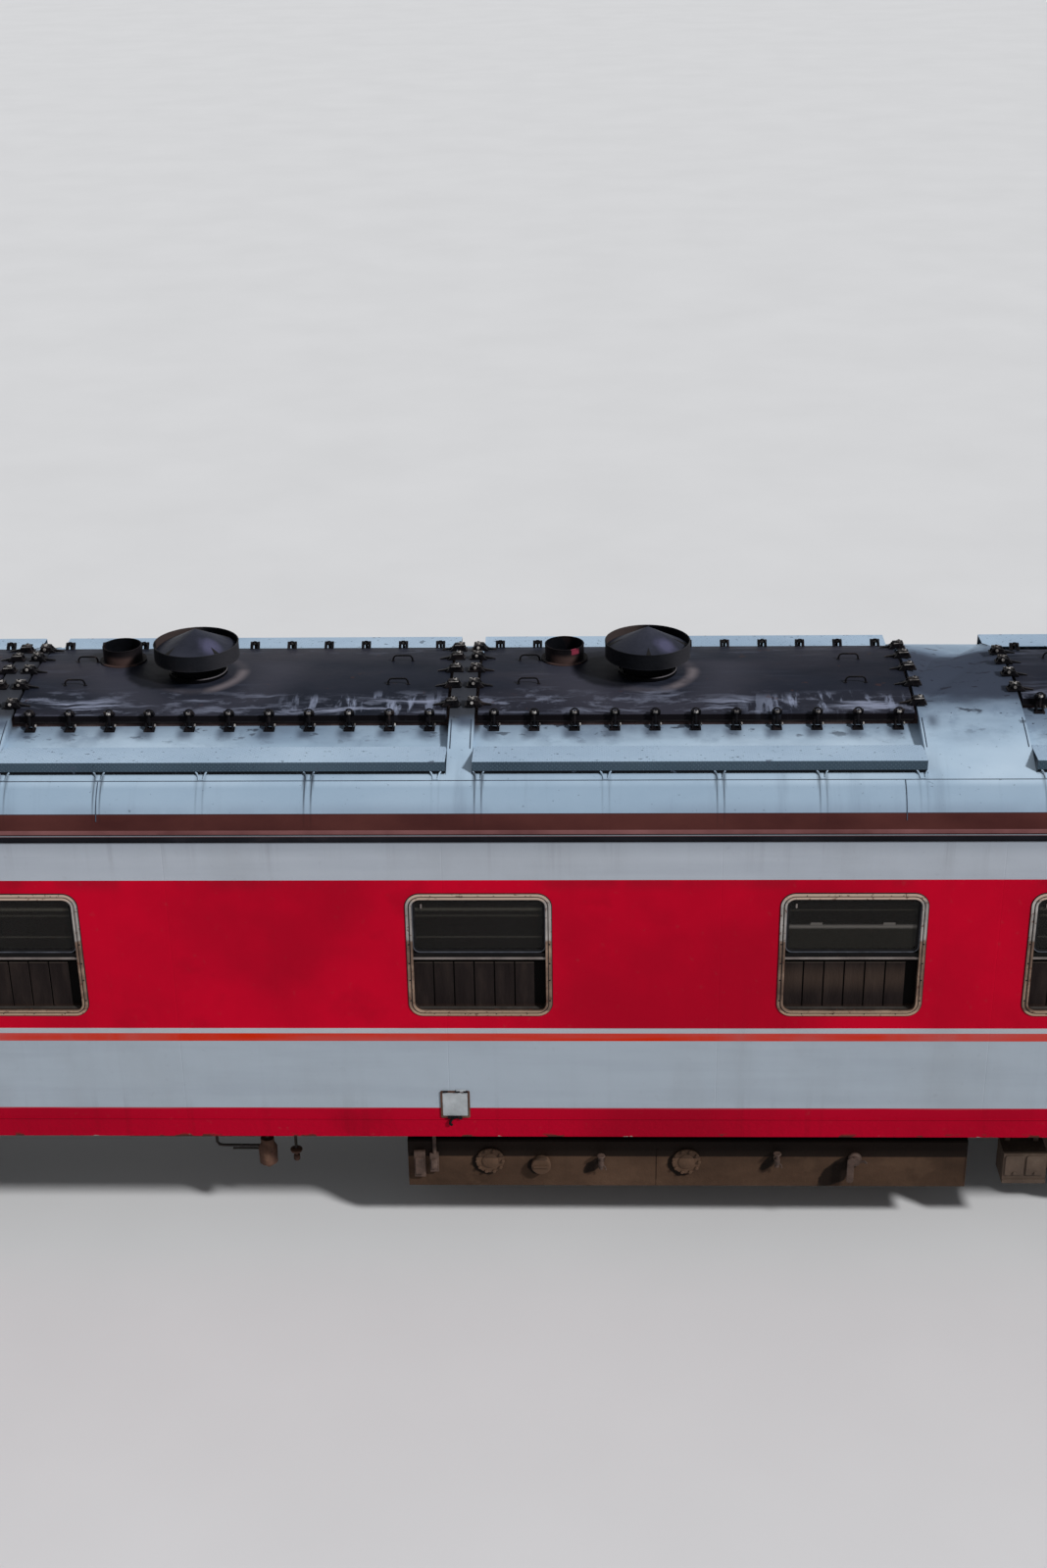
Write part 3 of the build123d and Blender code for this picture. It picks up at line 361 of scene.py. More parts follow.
def roof_paint():
    """Pale roof, sooty along the middle, with the brown band over the gutter."""
    s = Shader("roof_paint", 0.55, specular=0.03)
    tone = s.noise(0.9, 5, (0.6, 1, 1), 1)
    pale = s.ramp(tone, (0.32, (136, 157, 177)), (0.5, (156, 176, 194)), (0.68, (171, 189, 205)))
    # Painted shade: the roof's bend below the seam is darker, as if turned from the light.
    bend_shade = s.step(s.z, 4.118, 4.08)
    s.colour = s.mix(bend_shade * 0.62, pale, (126, 146, 165))
    low_cant = s.step(s.z, 4.02, 3.94) * s.spots(0.3, 0.6, 1.2, 5, (1.2, 1, 1), 8)
    s.coat(low_cant * 0.38, (116, 128, 146))
    runs = s.spots(0.52, 0.75, 1.0, 6, (5, 0.6, 0.4), 13, 0.62)
    s.coat(runs * (s.step(s.side, 0.9, 1.35) * 0.26), (96, 108, 124))
    cloud = s.noise(1.6, 6, (0.7, 1.4, 1), 31)
    drift = s.side + (cloud - 0.5) * 0.7
    along = s.within(s.x, -5.6, 10.2, 0.9)
    gap = s.within(s.x, 6.0, 6.95, 0.06)
    soot = s.step(drift, 0.8, 0.34) * s.most(along * 0.97, 0.3)
    s.coat(soot, (50, 54, 65))
    thin = s.step(drift, 1.0, 0.62) * s.most(along * 0.42, 0.1)
    s.coat(thin, (92, 104, 122))
    narrow = s.most(s.within(s.x, -1.14, -0.86, 0.02), s.within(s.x, 2.44, 2.72, 0.02))
    beside = s.step(drift, 1.02, 0.72) * s.within(s.x, -4.6, 9.6, 0.15)
    s.coat(beside * 0.26, (88, 106, 128))
    stain = s.spots(0.52, 0.66, 3.4, 6, (1, 1.3, 1), 53, 0.6) * s.step(s.side, 1.1, 0.76) * along
    s.coat(stain * 0.42, (92, 108, 128))
    s.coat(gap * s.step(drift, 0.6, 0.36) * 0.85, (50, 55, 68))
    wedge = s.side + (cloud - 0.5) * 0.16
    s.coat(narrow * s.step(wedge, 0.84, 0.68) * 0.95, (50, 51, 56))
    specks = s.spots(0.68, 0.73, 26, 4, (1, 1.6, 1), 17)
    near_clamps = s.step(s.side, 1.0, 0.72) * along
    s.coat(specks * s.most(0.4, near_clamps), (28, 30, 38))
    dabs = s.spots(0.6, 0.68, 9, 5, (0.7, 1.3, 1), 23)
    s.coat(dabs * near_clamps * 0.8, (38, 40, 50))
    # Painted shadow: a bluish dark patch on the shelf beside each clamp.
    pitch = 0.309
    off = abs(s.wrap(hatch_x(s) + 0.0595, pitch) - pitch / 2)
    edge = s.side + s.wander(0.1, 7, 4, seed=37)
    clamp_shadow = s.step(off, 0.1, 0.02) * s.within(edge, 0.72, 0.85, 0.06) * s.within(s.x, -4.6, 6.2, 0.05)
    s.coat(clamp_shadow * 0.75, (56, 64, 80))
    streaks = board_streaks(s)
    s.coat(streaks * 0.95, (22, 22, 28))
    brown = s.ramp(s.noise(2, 5, (0.5, 1, 1), 6), (0.35, (62, 32, 31)), (0.65, (80, 44, 41)))
    brown = s.mix(streaks * 0.6, brown, (34, 26, 26))
    brown = s.mix(s.near(s.z, 3.929, 0.006) * 0.7, brown, (42, 30, 32))
    s.coat(s.step(s.z, 3.9325, 3.9295), brown)
    # The ledge over the gutter: its own red paint, made lighter as painted light on a face turned up.
    ledge = s.ramp(s.noise(3, 5, (0.8, 1, 1), 61), (0.3, (96, 60, 60)), (0.7, (128, 86, 86)))
    s.coat(s.step(s.z, 3.811, 3.808), ledge)
    # Painted shadow: near black under the ledge, above the gutter.
    s.coat(s.step(s.z, 3.778, 3.772), (20, 10, 12))
    waves = s.noise(1.1, 3, (0.8, 1, 1), 2)
    height = waves + s.noise(45, 4) * 0.04
    rough = s.spread(soot, 0.0, 1.0, 0.5, 0.74)
    return s.done(height, 0.015, rough)


def gutter_paint():
    """Dirty black gutter with a brown top edge."""
    s = Shader("gutter_paint", 0.6, specular=0.04)
    tone = s.noise(4, 6, (0.6, 1, 1), 6)
    s.colour = s.ramp(tone, (0.3, (16, 16, 20)), (0.6, (26, 26, 31)), (0.8, (44, 40, 44)))
    top = s.step(s.z, 3.7645, 3.766)
    s.coat(top * 0.85, (100, 70, 72))
    return s.done(s.noise(40, 5), 0.003)


def lid_paint():
    """Dark lids with pale worn smears towards both long edges, painted light and shadow round the
    ventilators and painted shade on their sides.
    """
    s = Shader("lid_paint", 0.6, specular=0.01)
    tone = s.noise(1.3, 6, (0.6, 1.2, 1), 2)
    dark = s.ramp(tone, (0.3, (24, 28, 37)), (0.5, (33, 36, 46)), (0.7, (45, 45, 53)))
    brown = s.spots(0.48, 0.66, 0.9, 5, (0.5, 1.6, 1), 72)
    dark = s.mix(brown * 0.3, dark, (50, 47, 55))
    bent = s.noise(1.1, 4, (0.9, 1, 1), 12)
    bow = s.y + (bent - 0.5) * 0.34
    shifted = s.side + (bent - 0.5) * 0.5
    zone = s.step(shifted, 0.3, 0.52) * s.step(s.side, 0.715, 0.66) * s.spread(s.y, 0.0, 0.3, 1.0, 0.22)
    strokes = s.node("CombineXYZ", s.x * 1.35, bow * 12.0, 0.0).outputs[0]
    streak = s.set(s.node("TexNoise"), Vector=strokes, Scale=1.0, Detail=7.0, Roughness=0.62)
    smear = s.step(streak, 0.5, 0.64)
    thick = s.spots(0.4, 0.58, 1.0, 4, (1.0, 3.0, 1), 46)
    blot = s.spots(0.52, 0.66, 5, 6, (0.8, 1.6, 1), 43, 0.65)
    worn = s.most(smear * thick, blot * 0.55) * zone
    s.colour = s.mix(worn * 0.9, dark, (132, 138, 158))
    along = hatch_x(s)
    long_lids = s.step(s.x, LONG_LIDS_END + 0.05, LONG_LIDS_END - 0.05)
    dabs = s.spots(0.5, 0.62, 1.0, 6, (11, 2.2, 1), 48, 0.6)
    across = s.y + s.wander(0.3, 2.6, 4, seed=91)
    right = s.within(along, 2.2, 3.28, 0.35) * s.within(across, -0.66, -0.44, 0.07) * long_lids
    s.coat(dabs * right * 0.8, (138, 146, 168))
    rest = smear * s.spots(0.5, 0.66, 0.9, 3, (1, 1, 1), 44)
    s.coat(rest * 0.16, (96, 102, 120))
    rust = s.spots(0.66, 0.72, 8, 6, (1, 1, 1), 47)
    s.coat(rust * 0.45, (66, 46, 42))
    dx = along - VENT_OFFSET
    far = s.far(dx, s.y)
    # A pale dust ring round each ventilator, strongest on the side towards the key light as painted light.
    dust_and_lit_ring = s.near(far, 0.36, 0.075) * long_lids * s.spots(0.2, 0.5, 4, 5, seed=81)
    side = s.most(s.step(dx, 0.02, 0.22) * s.step(s.y, 0.12, -0.02), 0.2)
    s.coat(dust_and_lit_ring * side * 0.85, (116, 108, 112))
    # Painted light: a paler lit tone on the lids round and in front of the ventilators.
    s.coat(s.near(far, 0.62, 0.38) * long_lids * s.step(s.y, 0.35, 0.1) * 0.5, (62, 62, 72))
    shade = s.far(dx + 0.24, s.y - 0.03) + s.wander(0.1, 5, 4, seed=83)
    s.coat(s.step(shade, 0.38, 0.31) * long_lids * 0.85, (11, 13, 19))
    # Painted shade: near black on the lids' vertical sides.
    edge = LONG_LIDS_END + 0.15
    long_edge_shade = s.step(s.side, 0.7078, 0.7092) * s.step(s.x, edge, edge - 0.1)
    short_edge_shade = s.within(s.side, 0.5135, 0.53, 0.0008) * s.step(s.x, edge, edge + 0.1)
    s.coat(s.most(long_edge_shade, short_edge_shade) * 0.9, (16, 13, 14))
    height = s.noise(2, 3) + s.noise(50, 4) * 0.05
    rough = s.spread(worn, 0.0, 1.0, 0.46, 0.66)
    return s.done(height, 0.012, rough)


def coaming_paint():
    s = Shader("coaming_paint", 0.65, specular=0.03)
    tone = s.noise(4, 6, (0.6, 1, 1.4), 2)
    s.colour = s.ramp(tone, (0.32, (30, 25, 27)), (0.52, (58, 46, 46)), (0.7, (92, 78, 76)))
    return s.done(s.noise(40, 5), 0.003)


def black_steel():
    """Sooty black steel with rust in places."""
    s = Shader("black_steel", 0.5, specular=0.06)
    tone = s.noise(9, 6, seed=2)
    s.colour = s.ramp(tone, (0.3, (9, 9, 12)), (0.52, (17, 16, 19)),
                      (0.66, (32, 27, 28)), (0.8, (70, 58, 54)))
    return s.done(s.noise(70, 5), 0.002)


def vent_paint():
    """Ventilators: soot black below with painted light and shade, bluish dust on the cones with a painted
    reflection, and the far rim's inner wall painted brown as lit on the left and black as shaded on the
    right.
    """
    s = Shader("vent_paint", 0.5, specular=0.03)
    tone = s.noise(3, 6, seed=5)
    base = s.ramp(tone, (0.3, (16, 17, 20)), (0.6, (26, 27, 31)), (0.8, (42, 39, 41)))
    top = s.ramp(tone, (0.3, (34, 36, 45)), (0.6, (46, 48, 58)), (0.8, (60, 61, 72)))
    dx = hatch_x(s) - VENT_OFFSET
    far = s.far(dx, s.y)
    # Painted shade on the side away from the key light, and painted light on the side towards it.
    base = s.mix(s.step(dx, 0.05, -0.3) * 0.6, base, (8, 9, 13))
    base = s.mix(s.step(dx, 0.05, 0.3) * 0.5, base, (58, 57, 61))
    # Painted shade: near black under the cap, on the neck and inside the ring.
    inside = s.step(far, 0.331, 0.329) * s.step(s.z, 4.69, 4.6)
    base = s.mix(s.most(inside, s.step(far, 0.224, 0.21)), base, (5, 5, 7))
    level = s.z + far * CONE_FALL
    cone = s.step(far, 0.3265, 0.3255) * s.step(level, 4.78, 4.79)
    s.colour = s.mix(cone, base, top)
    # Painted reflection: a purple-grey patch on the cone's lit front.
    blot = s.far(dx - 0.14, s.y + 0.14) + s.wander(0.1, 9, 4, seed=11)
    s.coat(cone * s.step(blot, 0.12, 0.02) * 0.5, (92, 91, 120))
    # Painted light on the left of the far rim's inner wall, painted shade on its right.
    wall = s.within(far, 0.3262, 0.332, 0.0005) * s.step(s.y, -0.02, 0.05)
    s.coat(wall * s.step(dx, 0.02, -0.1), (60, 52, 51))
    s.coat(wall * s.step(dx, -0.04, 0.06), (7, 8, 12))
    # Painted highlight along the right-hand edge of the neck flange.
    flange_highlight = s.within(s.z, 4.476, 4.486, 0.002) * s.step(far, 0.226, 0.231) * s.step(dx, 0.0, 0.1)
    s.coat(flange_highlight * 0.8, (104, 100, 104))
    return s.done(s.noise(30, 5), 0.004)


def stub_paint():
    """Exhaust stubs: soot black, with painted light in brown at the front of the foot, and one with a red
    patch under its rim.
    """
    s = Shader("stub_paint", 0.65, specular=0.03)
    tone = s.noise(7, 6, seed=5)
    outside = s.ramp(tone, (0.3, (13, 12, 15)), (0.7, (30, 26, 28)))
    inside = s.ramp(tone, (0.3, (7, 8, 11)), (0.55, (12, 13, 17)), (0.75, (34, 26, 26)))
    dx = hatch_x(s) - STUB_OFFSET
    dy = s.y - STUB_Y
    far = s.far(dx, dy)
    # Painted light: a brown lit patch at the front of the stub's foot.
    foot = s.step(dy, -0.1, -0.15) * s.step(s.z, 4.545, 4.5)
    outside = s.mix(foot * 0.8, outside, (74, 58, 55))
    reach = dx * 0.57 - dy * 0.82
    patch = s.step(reach, 0.1515, 0.1535) * s.step(s.z, 4.525, 4.54) * s.within(s.x, 2.7, 6.0, 0.01)
    outside = s.mix(patch * s.spots(0.3, 0.48, 14, 4, seed=31) * 0.9, outside, (128, 48, 66))
    s.colour = s.mix(s.step(far, 0.1525, 0.1505), outside, inside)
    return s.done(s.noise(40, 5), 0.003)


def board_paint():
    """Chequer plate: pale on top, dark on the turned down edge."""
    s = Shader("board_paint", 0.5, specular=0.06)
    pitch = 0.034
    across = s.side - s.z
    u = (s.x + across) / pitch
    v = (s.x - across) / pitch
    odd = abs(s.math("MODULO", s.math("FLOOR", u) + s.math("FLOOR", v), 2.0))
    fu = abs(s.math("FRACT", u) - 0.5)
    fv = abs(s.math("FRACT", v) - 0.5)
    shape = s.node("Mix", odd, None, fu * 1.1 + fv * 3.4, fv * 1.1 + fu * 3.4, data_type="FLOAT")
    lozenge = s.step(Value(s, shape.outputs[0]), 0.52, 0.34)
    tone = s.noise(1.2, 5, (0.6, 1, 1), 3)
    top = s.ramp(tone, (0.32, (143, 164, 185)), (0.66, (165, 185, 204)))
    edge = s.ramp(tone, (0.32, (48, 62, 74)), (0.66, (68, 84, 97)))
    turned = s.step(s.z, 4.2485, 4.2455)
    s.colour = s.mix(turned, top, edge)
    worn = lozenge * s.spots(0.35, 0.65, 5, 4, seed=8)
    s.coat(worn * 0.4, (112, 126, 142))
    s.coat(lozenge * turned * 0.55, (98, 116, 128))
    # Painted shadow: black along the lower rim of the turned down edge.
    s.coat(s.step(s.z, 4.176, 4.172) * turned, (10, 13, 17))
    specks = s.spots(0.65, 0.71, 30, 4, (1, 1.5, 1), 19)
    s.coat(specks * 0.85, (34, 40, 50))
    patch = s.spots(0.66, 0.71, 11, 5, (1, 1.4, 1), 29)
    s.coat(patch * 0.7, (70, 80, 94))
    return s.done(lozenge, 0.004)


def window_metal():
    """Window frames: bare and pale on top, rusty brown in the lower part."""
    s = Shader("window_metal", 0.5, 0.0, 0.1)
    tone = s.noise(6, 6, seed=3)
    high = s.ramp(tone, (0.3, (124, 118, 114)), (0.6, (158, 152, 148)), (0.8, (184, 178, 174)))
    low = s.ramp(tone, (0.3, (74, 58, 50)), (0.52, (116, 95, 82)), (0.72, (156, 132, 114)))
    edge = s.z + s.wander(0.05, 12, 4, seed=5)
    s.colour = s.mix(s.step(s.z, 3.2, 3.24), high, (176, 154, 138))
    s.coat(s.step(edge, 2.885, 2.86), low)
    # Painted shade: near black on the faces set back from the wall face.
    recess = s.step(s.side, HALF_WIDTH + 0.001, HALF_WIDTH - 0.006)
    s.coat(recess * 0.86, (18, 16, 16))
    sill = s.step(s.z, 2.262, 2.242) * s.step(s.side, HALF_WIDTH + 0.001, HALF_WIDTH + 0.006)
    s.coat(sill * 0.8, (166, 140, 118))
    s.coat(s.spots(0.6, 0.66, 34, 5, seed=7) * 0.7, (86, 52, 40))
    # Painted shade: a near black band round the rail, on the faces set back from the wall.
    rail = s.within(s.z, 2.69, 2.79, 0.003) * recess
    s.coat(rail * 0.92, (7, 7, 9))
    return s.done(s.noise(60, 4), 0.002)


def plain_glass(name, tint):
    """A dark pane that still shows a little of what is behind it."""
    s = Shader(name, 0.05, 0.0, 0.17)
    s.set(s.bsdf, Alpha=0.84)
    s.colour = s.ramp(s.noise(2.4, 4, seed=3), (0.3, tint), (0.8, (20, 19, 17)))
    right = s.within(s.x, 5.0, 6.1, 0.01)
    left = 1.0 - right
    for z, half, share, where in ((3.13, 0.022, 1.0, left), (3.075, 0.014, 0.5, left),
                                  (2.89, 0.012, 0.6, left), (3.12, 0.01, 0.5, right)):
        s.coat(s.near(s.z, z, half) * where * share, (58, 56, 50))
    s.coat(s.step(s.z, 2.985, 2.975) * right * 0.6, (33, 31, 26))
    knobs = s.most(s.within(s.x, 5.23, 5.32, 0.005), s.within(s.x, 5.78, 5.87, 0.005))
    knobs = knobs * s.within(s.z, 2.99, 3.012, 0.003)
    s.coat(s.most(s.near(s.z, 2.978, 0.026), knobs) * right * 0.9, (96, 92, 88))
    return s.done(rough=s.spread(s.noise(5, 6, seed=11), 0.35, 0.75, 0.04, 0.22))


def screen_paint():
    """Brown boards behind the open lower halves of the windows, black in the gaps."""
    s = Shader("screen_paint", 0.6, specular=0.04)
    tone = s.noise(4, 6, (3, 2, 0.6), 3)
    s.colour = s.ramp(tone, (0.3, (25, 20, 20)), (0.55, (34, 28, 27)), (0.78, (46, 38, 35)))
    lip = s.step(s.z, 2.648, 2.656)
    s.coat(lip * 0.6, (92, 82, 76))
    edges = s.step(s.side, HALF_WIDTH - 0.0385, HALF_WIDTH - 0.0405)
    s.coat(edges * 0.6, (70, 62, 58))
    # Painted shade: black on the deeper faces between and behind the boards.
    back = s.step(s.side, HALF_WIDTH - 0.0445, HALF_WIDTH - 0.0455)
    s.coat(back, (6, 5, 5))
    low = s.step(s.z, 2.3, 2.26)
    s.coat(low * 0.4, (60, 44, 36))
    pale = s.within(s.x, 5.0, 6.1, 0.01) * s.near(s.z, 2.52, 0.17)
    pale = pale * s.step(s.side, HALF_WIDTH - 0.044, HALF_WIDTH - 0.042)
    s.coat(pale * 0.3, (84, 68, 58))
    return s.done(s.noise(30, 4, (2, 1, 0.4), 9), 0.004)


def worn_paint(name, roughness, metallic, scale, *stops, grain=30.0, depth=0.003):
    """Paint or metal of one colour family, from its dark to its pale tone."""
    s = Shader(name, roughness, metallic, 0.16)
    s.colour = s.ramp(s.noise(scale, 7, seed=4, roughness=0.62), *stops)
    rough = s.spread(s.noise(scale * 3, 4, seed=6), 0.3, 0.7, roughness - 0.08, roughness + 0.12)
    return s.done(s.noise(grain, 5), depth, rough)


def wheel_metal():
    """Brown wheels with bright treads, brake discs and axle."""
    s = Shader("wheel_metal", 0.5, specular=0.2)
    far = s.far(abs(abs(s.x) - BOGIE_X) - HALF_WHEELBASE, s.z - AXLE_Z)
    tone = s.noise(6, 6, seed=2)
    brown = s.ramp(tone, (0.3, (46, 36, 31)), (0.55, (70, 54, 45)), (0.75, (96, 76, 62)))
    bright = s.ramp(tone, (0.3, (140, 138, 136)), (0.7, (188, 186, 184)))
    tread = s.step(far, 0.4535, 0.4555) * s.within(s.side, 0.7, 0.8, 0.006)
    disc = s.within(far, 0.15, 0.315, 0.004) * s.step(s.side, 0.43, 0.42)
    shine = s.most(tread, disc * 0.85)
    s.set(s.bsdf, Metallic=shine)
    rough = s.spread(shine, 0.0, 1.0, 0.68, 0.28)
    s.colour = s.mix(shine, brown, bright)
    return s.done(s.noise(40, 5), 0.002, rough)


def tank_paint():
    """Brown tank, with painted shadow under the sill and beside its covers and valves."""
    s = Shader("tank_paint", 0.62, specular=0.06)
    tone = s.noise(1.6, 7, (0.7, 1, 1.3), 2, 0.62)
    s.colour = s.ramp(tone, (0.3, (55, 41, 32)), (0.5, (68, 51, 40)), (0.72, (83, 63, 50)))
    runs = s.spots(0.55, 0.75, 1.0, 6, (8, 8, 0.7), 15)
    s.coat(runs * 0.22, (36, 27, 23))
    patch = s.spots(0.56, 0.66, 2.6, 5, (1, 1, 1.4), 33)
    s.coat(patch * 0.2, (98, 76, 60))
    # Painted shadow: near black over the top of the tank's face, where the sill shades it.
    dark = s.step(s.z, 0.74, 0.752)
    ragged = s.wander(0.06, 9, 4, seed=6)
    flat = s.step(s.side, TANK_Y + 0.004, TANK_Y + 0.002)
    # Painted shadows cast to the lower left of the covers, plug and valves.
    for x, z, radius, long in ((2.721, 0.686, 0.122, 1.0), (4.315, 0.681, 0.122, 1.0),
                               (3.136, 0.658, 0.085, 1.0), (5.58, 0.61, 0.09, 0.45),
                               (3.59, 0.66, 0.045, 0.45), (5.01, 0.68, 0.045, 0.45)):
        dx, dz = s.x - x, s.z - z
        far = s.far((dx + dz) * (0.707 * long), (dx - dz) * 0.707) + ragged
        dark = s.most(dark, s.step(far, radius + 0.008, radius - 0.008) * flat)
    s.coat(dark * 0.88, (13, 9, 8))
    s.coat(s.near(s.x, 4.098, 0.006) * 0.8, (24, 16, 14))
    proud = s.step(s.side, TANK_Y + 0.006, TANK_Y + 0.01)
    s.coat(proud * 0.25, (112, 88, 72))
    return s.done(s.noise(24, 6), 0.005)


def rubber_black():
    s = Shader("rubber_black", 0.75, specular=0.12)
    s.colour = s.ramp(s.noise(14, 5, seed=3), (0.3, (13, 13, 15)), (0.7, (30, 29, 30)))
    return s.done(s.noise(90, 4), 0.002)


MAT = {
    "body": body_paint(),
    "underframe": underframe_paint(),
    "roof": roof_paint(),
    "gutter": gutter_paint(),
    "lid": lid_paint(),
    "coaming": coaming_paint(),
    "black": black_steel(),
    "vent": vent_paint(),
    "stub": stub_paint(),
    "board": board_paint(),
    "window": window_metal(),
    "glass": plain_glass("window_pane", (15, 12, 9)),
    "door_glass": plain_glass("door_pane", (16, 18, 18)),
    "screen": screen_paint(),
    "wheel": wheel_metal(),
    "tank": tank_paint(),
    "rubber": rubber_black(),
}
# Key, name, roughness, metal, scale of the wear, and tones from dark to pale
WORN = (
    ("seam", "seam_metal", 0.6, 0.0, 3, (0.3, (30, 36, 46)), (0.7, (72, 84, 100))),
    ("sash", "sash_metal", 0.38, 0.2, 8, (0.3, (58, 60, 66)), (0.7, (98, 101, 110))),
    ("sash_bar", "sash_bar_metal", 0.4, 0.2, 5, (0.3, (92, 84, 82)), (0.7, (132, 124, 120))),
    ("inner_bar", "inner_bar_metal", 0.5, 0.0, 5, (0.3, (36, 34, 32)), (0.7, (62, 58, 55))),
    ("bare", "bare_metal", 0.36, 0.7, 9, (0.3, (120, 118, 116)), (0.7, (176, 172, 168))),
    ("rust", "rusty_steel", 0.7, 0.0, 8, (0.3, (52, 36, 30)), (0.55, (82, 58, 47)), (0.8, (118, 90, 74))),
    ("valve", "valve_metal", 0.6, 0.0, 9, (0.3, (50, 40, 36)), (0.55, (80, 64, 57)), (0.8, (112, 92, 84))),
    # The bolts' pale tones are bare steel and painted highlights both.
    ("bolt", "bolt_steel", 0.5, 0.0, 14,
     (0.3, (48, 46, 48)), (0.5, (110, 106, 104)), (0.7, (190, 186, 182))),
    ("louvre", "louvre_paint", 0.5, 0.0, 2, (0.3, (96, 100, 106)), (0.7, (130, 134, 140))),
    ("cooler", "cooler_metal", 0.4, 0.35, 2,
     (0.3, (104, 98, 97)), (0.55, (132, 126, 124)), (0.8, (156, 152, 152))),
    ("fan", "fan_metal", 0.45, 0.4, 3, (0.3, (56, 58, 62)), (0.7, (92, 95, 100))),
    ("rail", "rail_paint", 0.4, 0.2, 6, (0.3, (150, 152, 154)), (0.7, (186, 188, 190))),
    ("box", "box_paint", 0.6, 0.0, 2.5, (0.3, (58, 48, 42)), (0.6, (84, 70, 60)), (0.8, (104, 90, 78))),
    ("under", "under_steel", 0.65, 0.0, 3, (0.3, (30, 27, 26)), (0.6, (50, 43, 39)), (0.8, (72, 60, 52))),
    ("spring", "spring_paint", 0.5, 0.0, 6, (0.3, (26, 26, 28)), (0.6, (44, 42, 42)), (0.8, (76, 62, 54))),
    ("machine", "machine_paint", 0.5, 0.0, 1.5, (0.3, (84, 96, 92)), (0.7, (120, 134, 128))),
    ("floor", "floor_board", 0.7, 0.0, 2, (0.3, (66, 62, 58)), (0.7, (92, 88, 82))),
    ("lamp", "lamp_glass", 0.18, 0.0, 8, (0.3, (128, 12, 14)), (0.7, (178, 20, 20))),
    ("flap", "flap_paint", 0.5, 0.0, 4,
     (0.3, (136, 140, 143)), (0.6, (166, 171, 174)), (0.8, (182, 186, 188))),
)
for key, *look in WORN:
    MAT[key] = worn_paint(*look)
MAT["cast"] = worn_paint("cast_steel", 0.66, 0.0, 3, (0.3, (40, 35, 32)), (0.6, (64, 54, 47)),
                         (0.8, (90, 74, 62)), grain=45, depth=0.006)

# Material of the part's own pieces
DRESS = {
    "body": "side_wall_near side_wall_far end_wall_front end_wall_rear entrance_door_near entrance_door_far"
            " service_door_near service_door_far end_door_front end_door_rear",
    "underframe": "underframe",
    "roof": "roof",
    "gutter": "gutters",
    "lid": "hatch_lid_1 hatch_lid_2 hatch_lid_3 hatch_lid_4",
    "coaming": "hatch_coamings",
    "black": "hatch_clamps tail_lamps",
    "vent": "roof_ventilators",
    "stub": "exhaust_stubs",
    "board": "roof_walkways",
    "cooler": "air_conditioner",
    "louvre": "fan_guards louvres",
    "fan": "cooling_fan_1 cooling_fan_2",
    "window": "window_frames",
    "glass": "window_glass",
    "screen": "window_screens",
    "rubber": "gangway_front gangway_rear",
    "machine": "generator_sets",
    "floor": "floor",
    "tank": "fuel_tank",
    "box": "underfloor_boxes",
    "under": "air_reservoirs brake_pipe entrance_steps",
    "rail": "grab_rails",
    "cast": "coupler_front coupler_rear knuckle_front knuckle_rear bogie_frame_front bogie_frame_rear"
            " bogie_bolster_front bogie_bolster_rear axleboxes_front axleboxes_rear",
    "spring": "bogie_springs_front bogie_springs_rear",
    "wheel": "wheelset_1 wheelset_2 wheelset_3 wheelset_4",
}
for key, names in DRESS.items():
    for name in names.split():
        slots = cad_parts[name].data.materials
        slots.clear()
        slots.append(MAT[key])


# Pieces

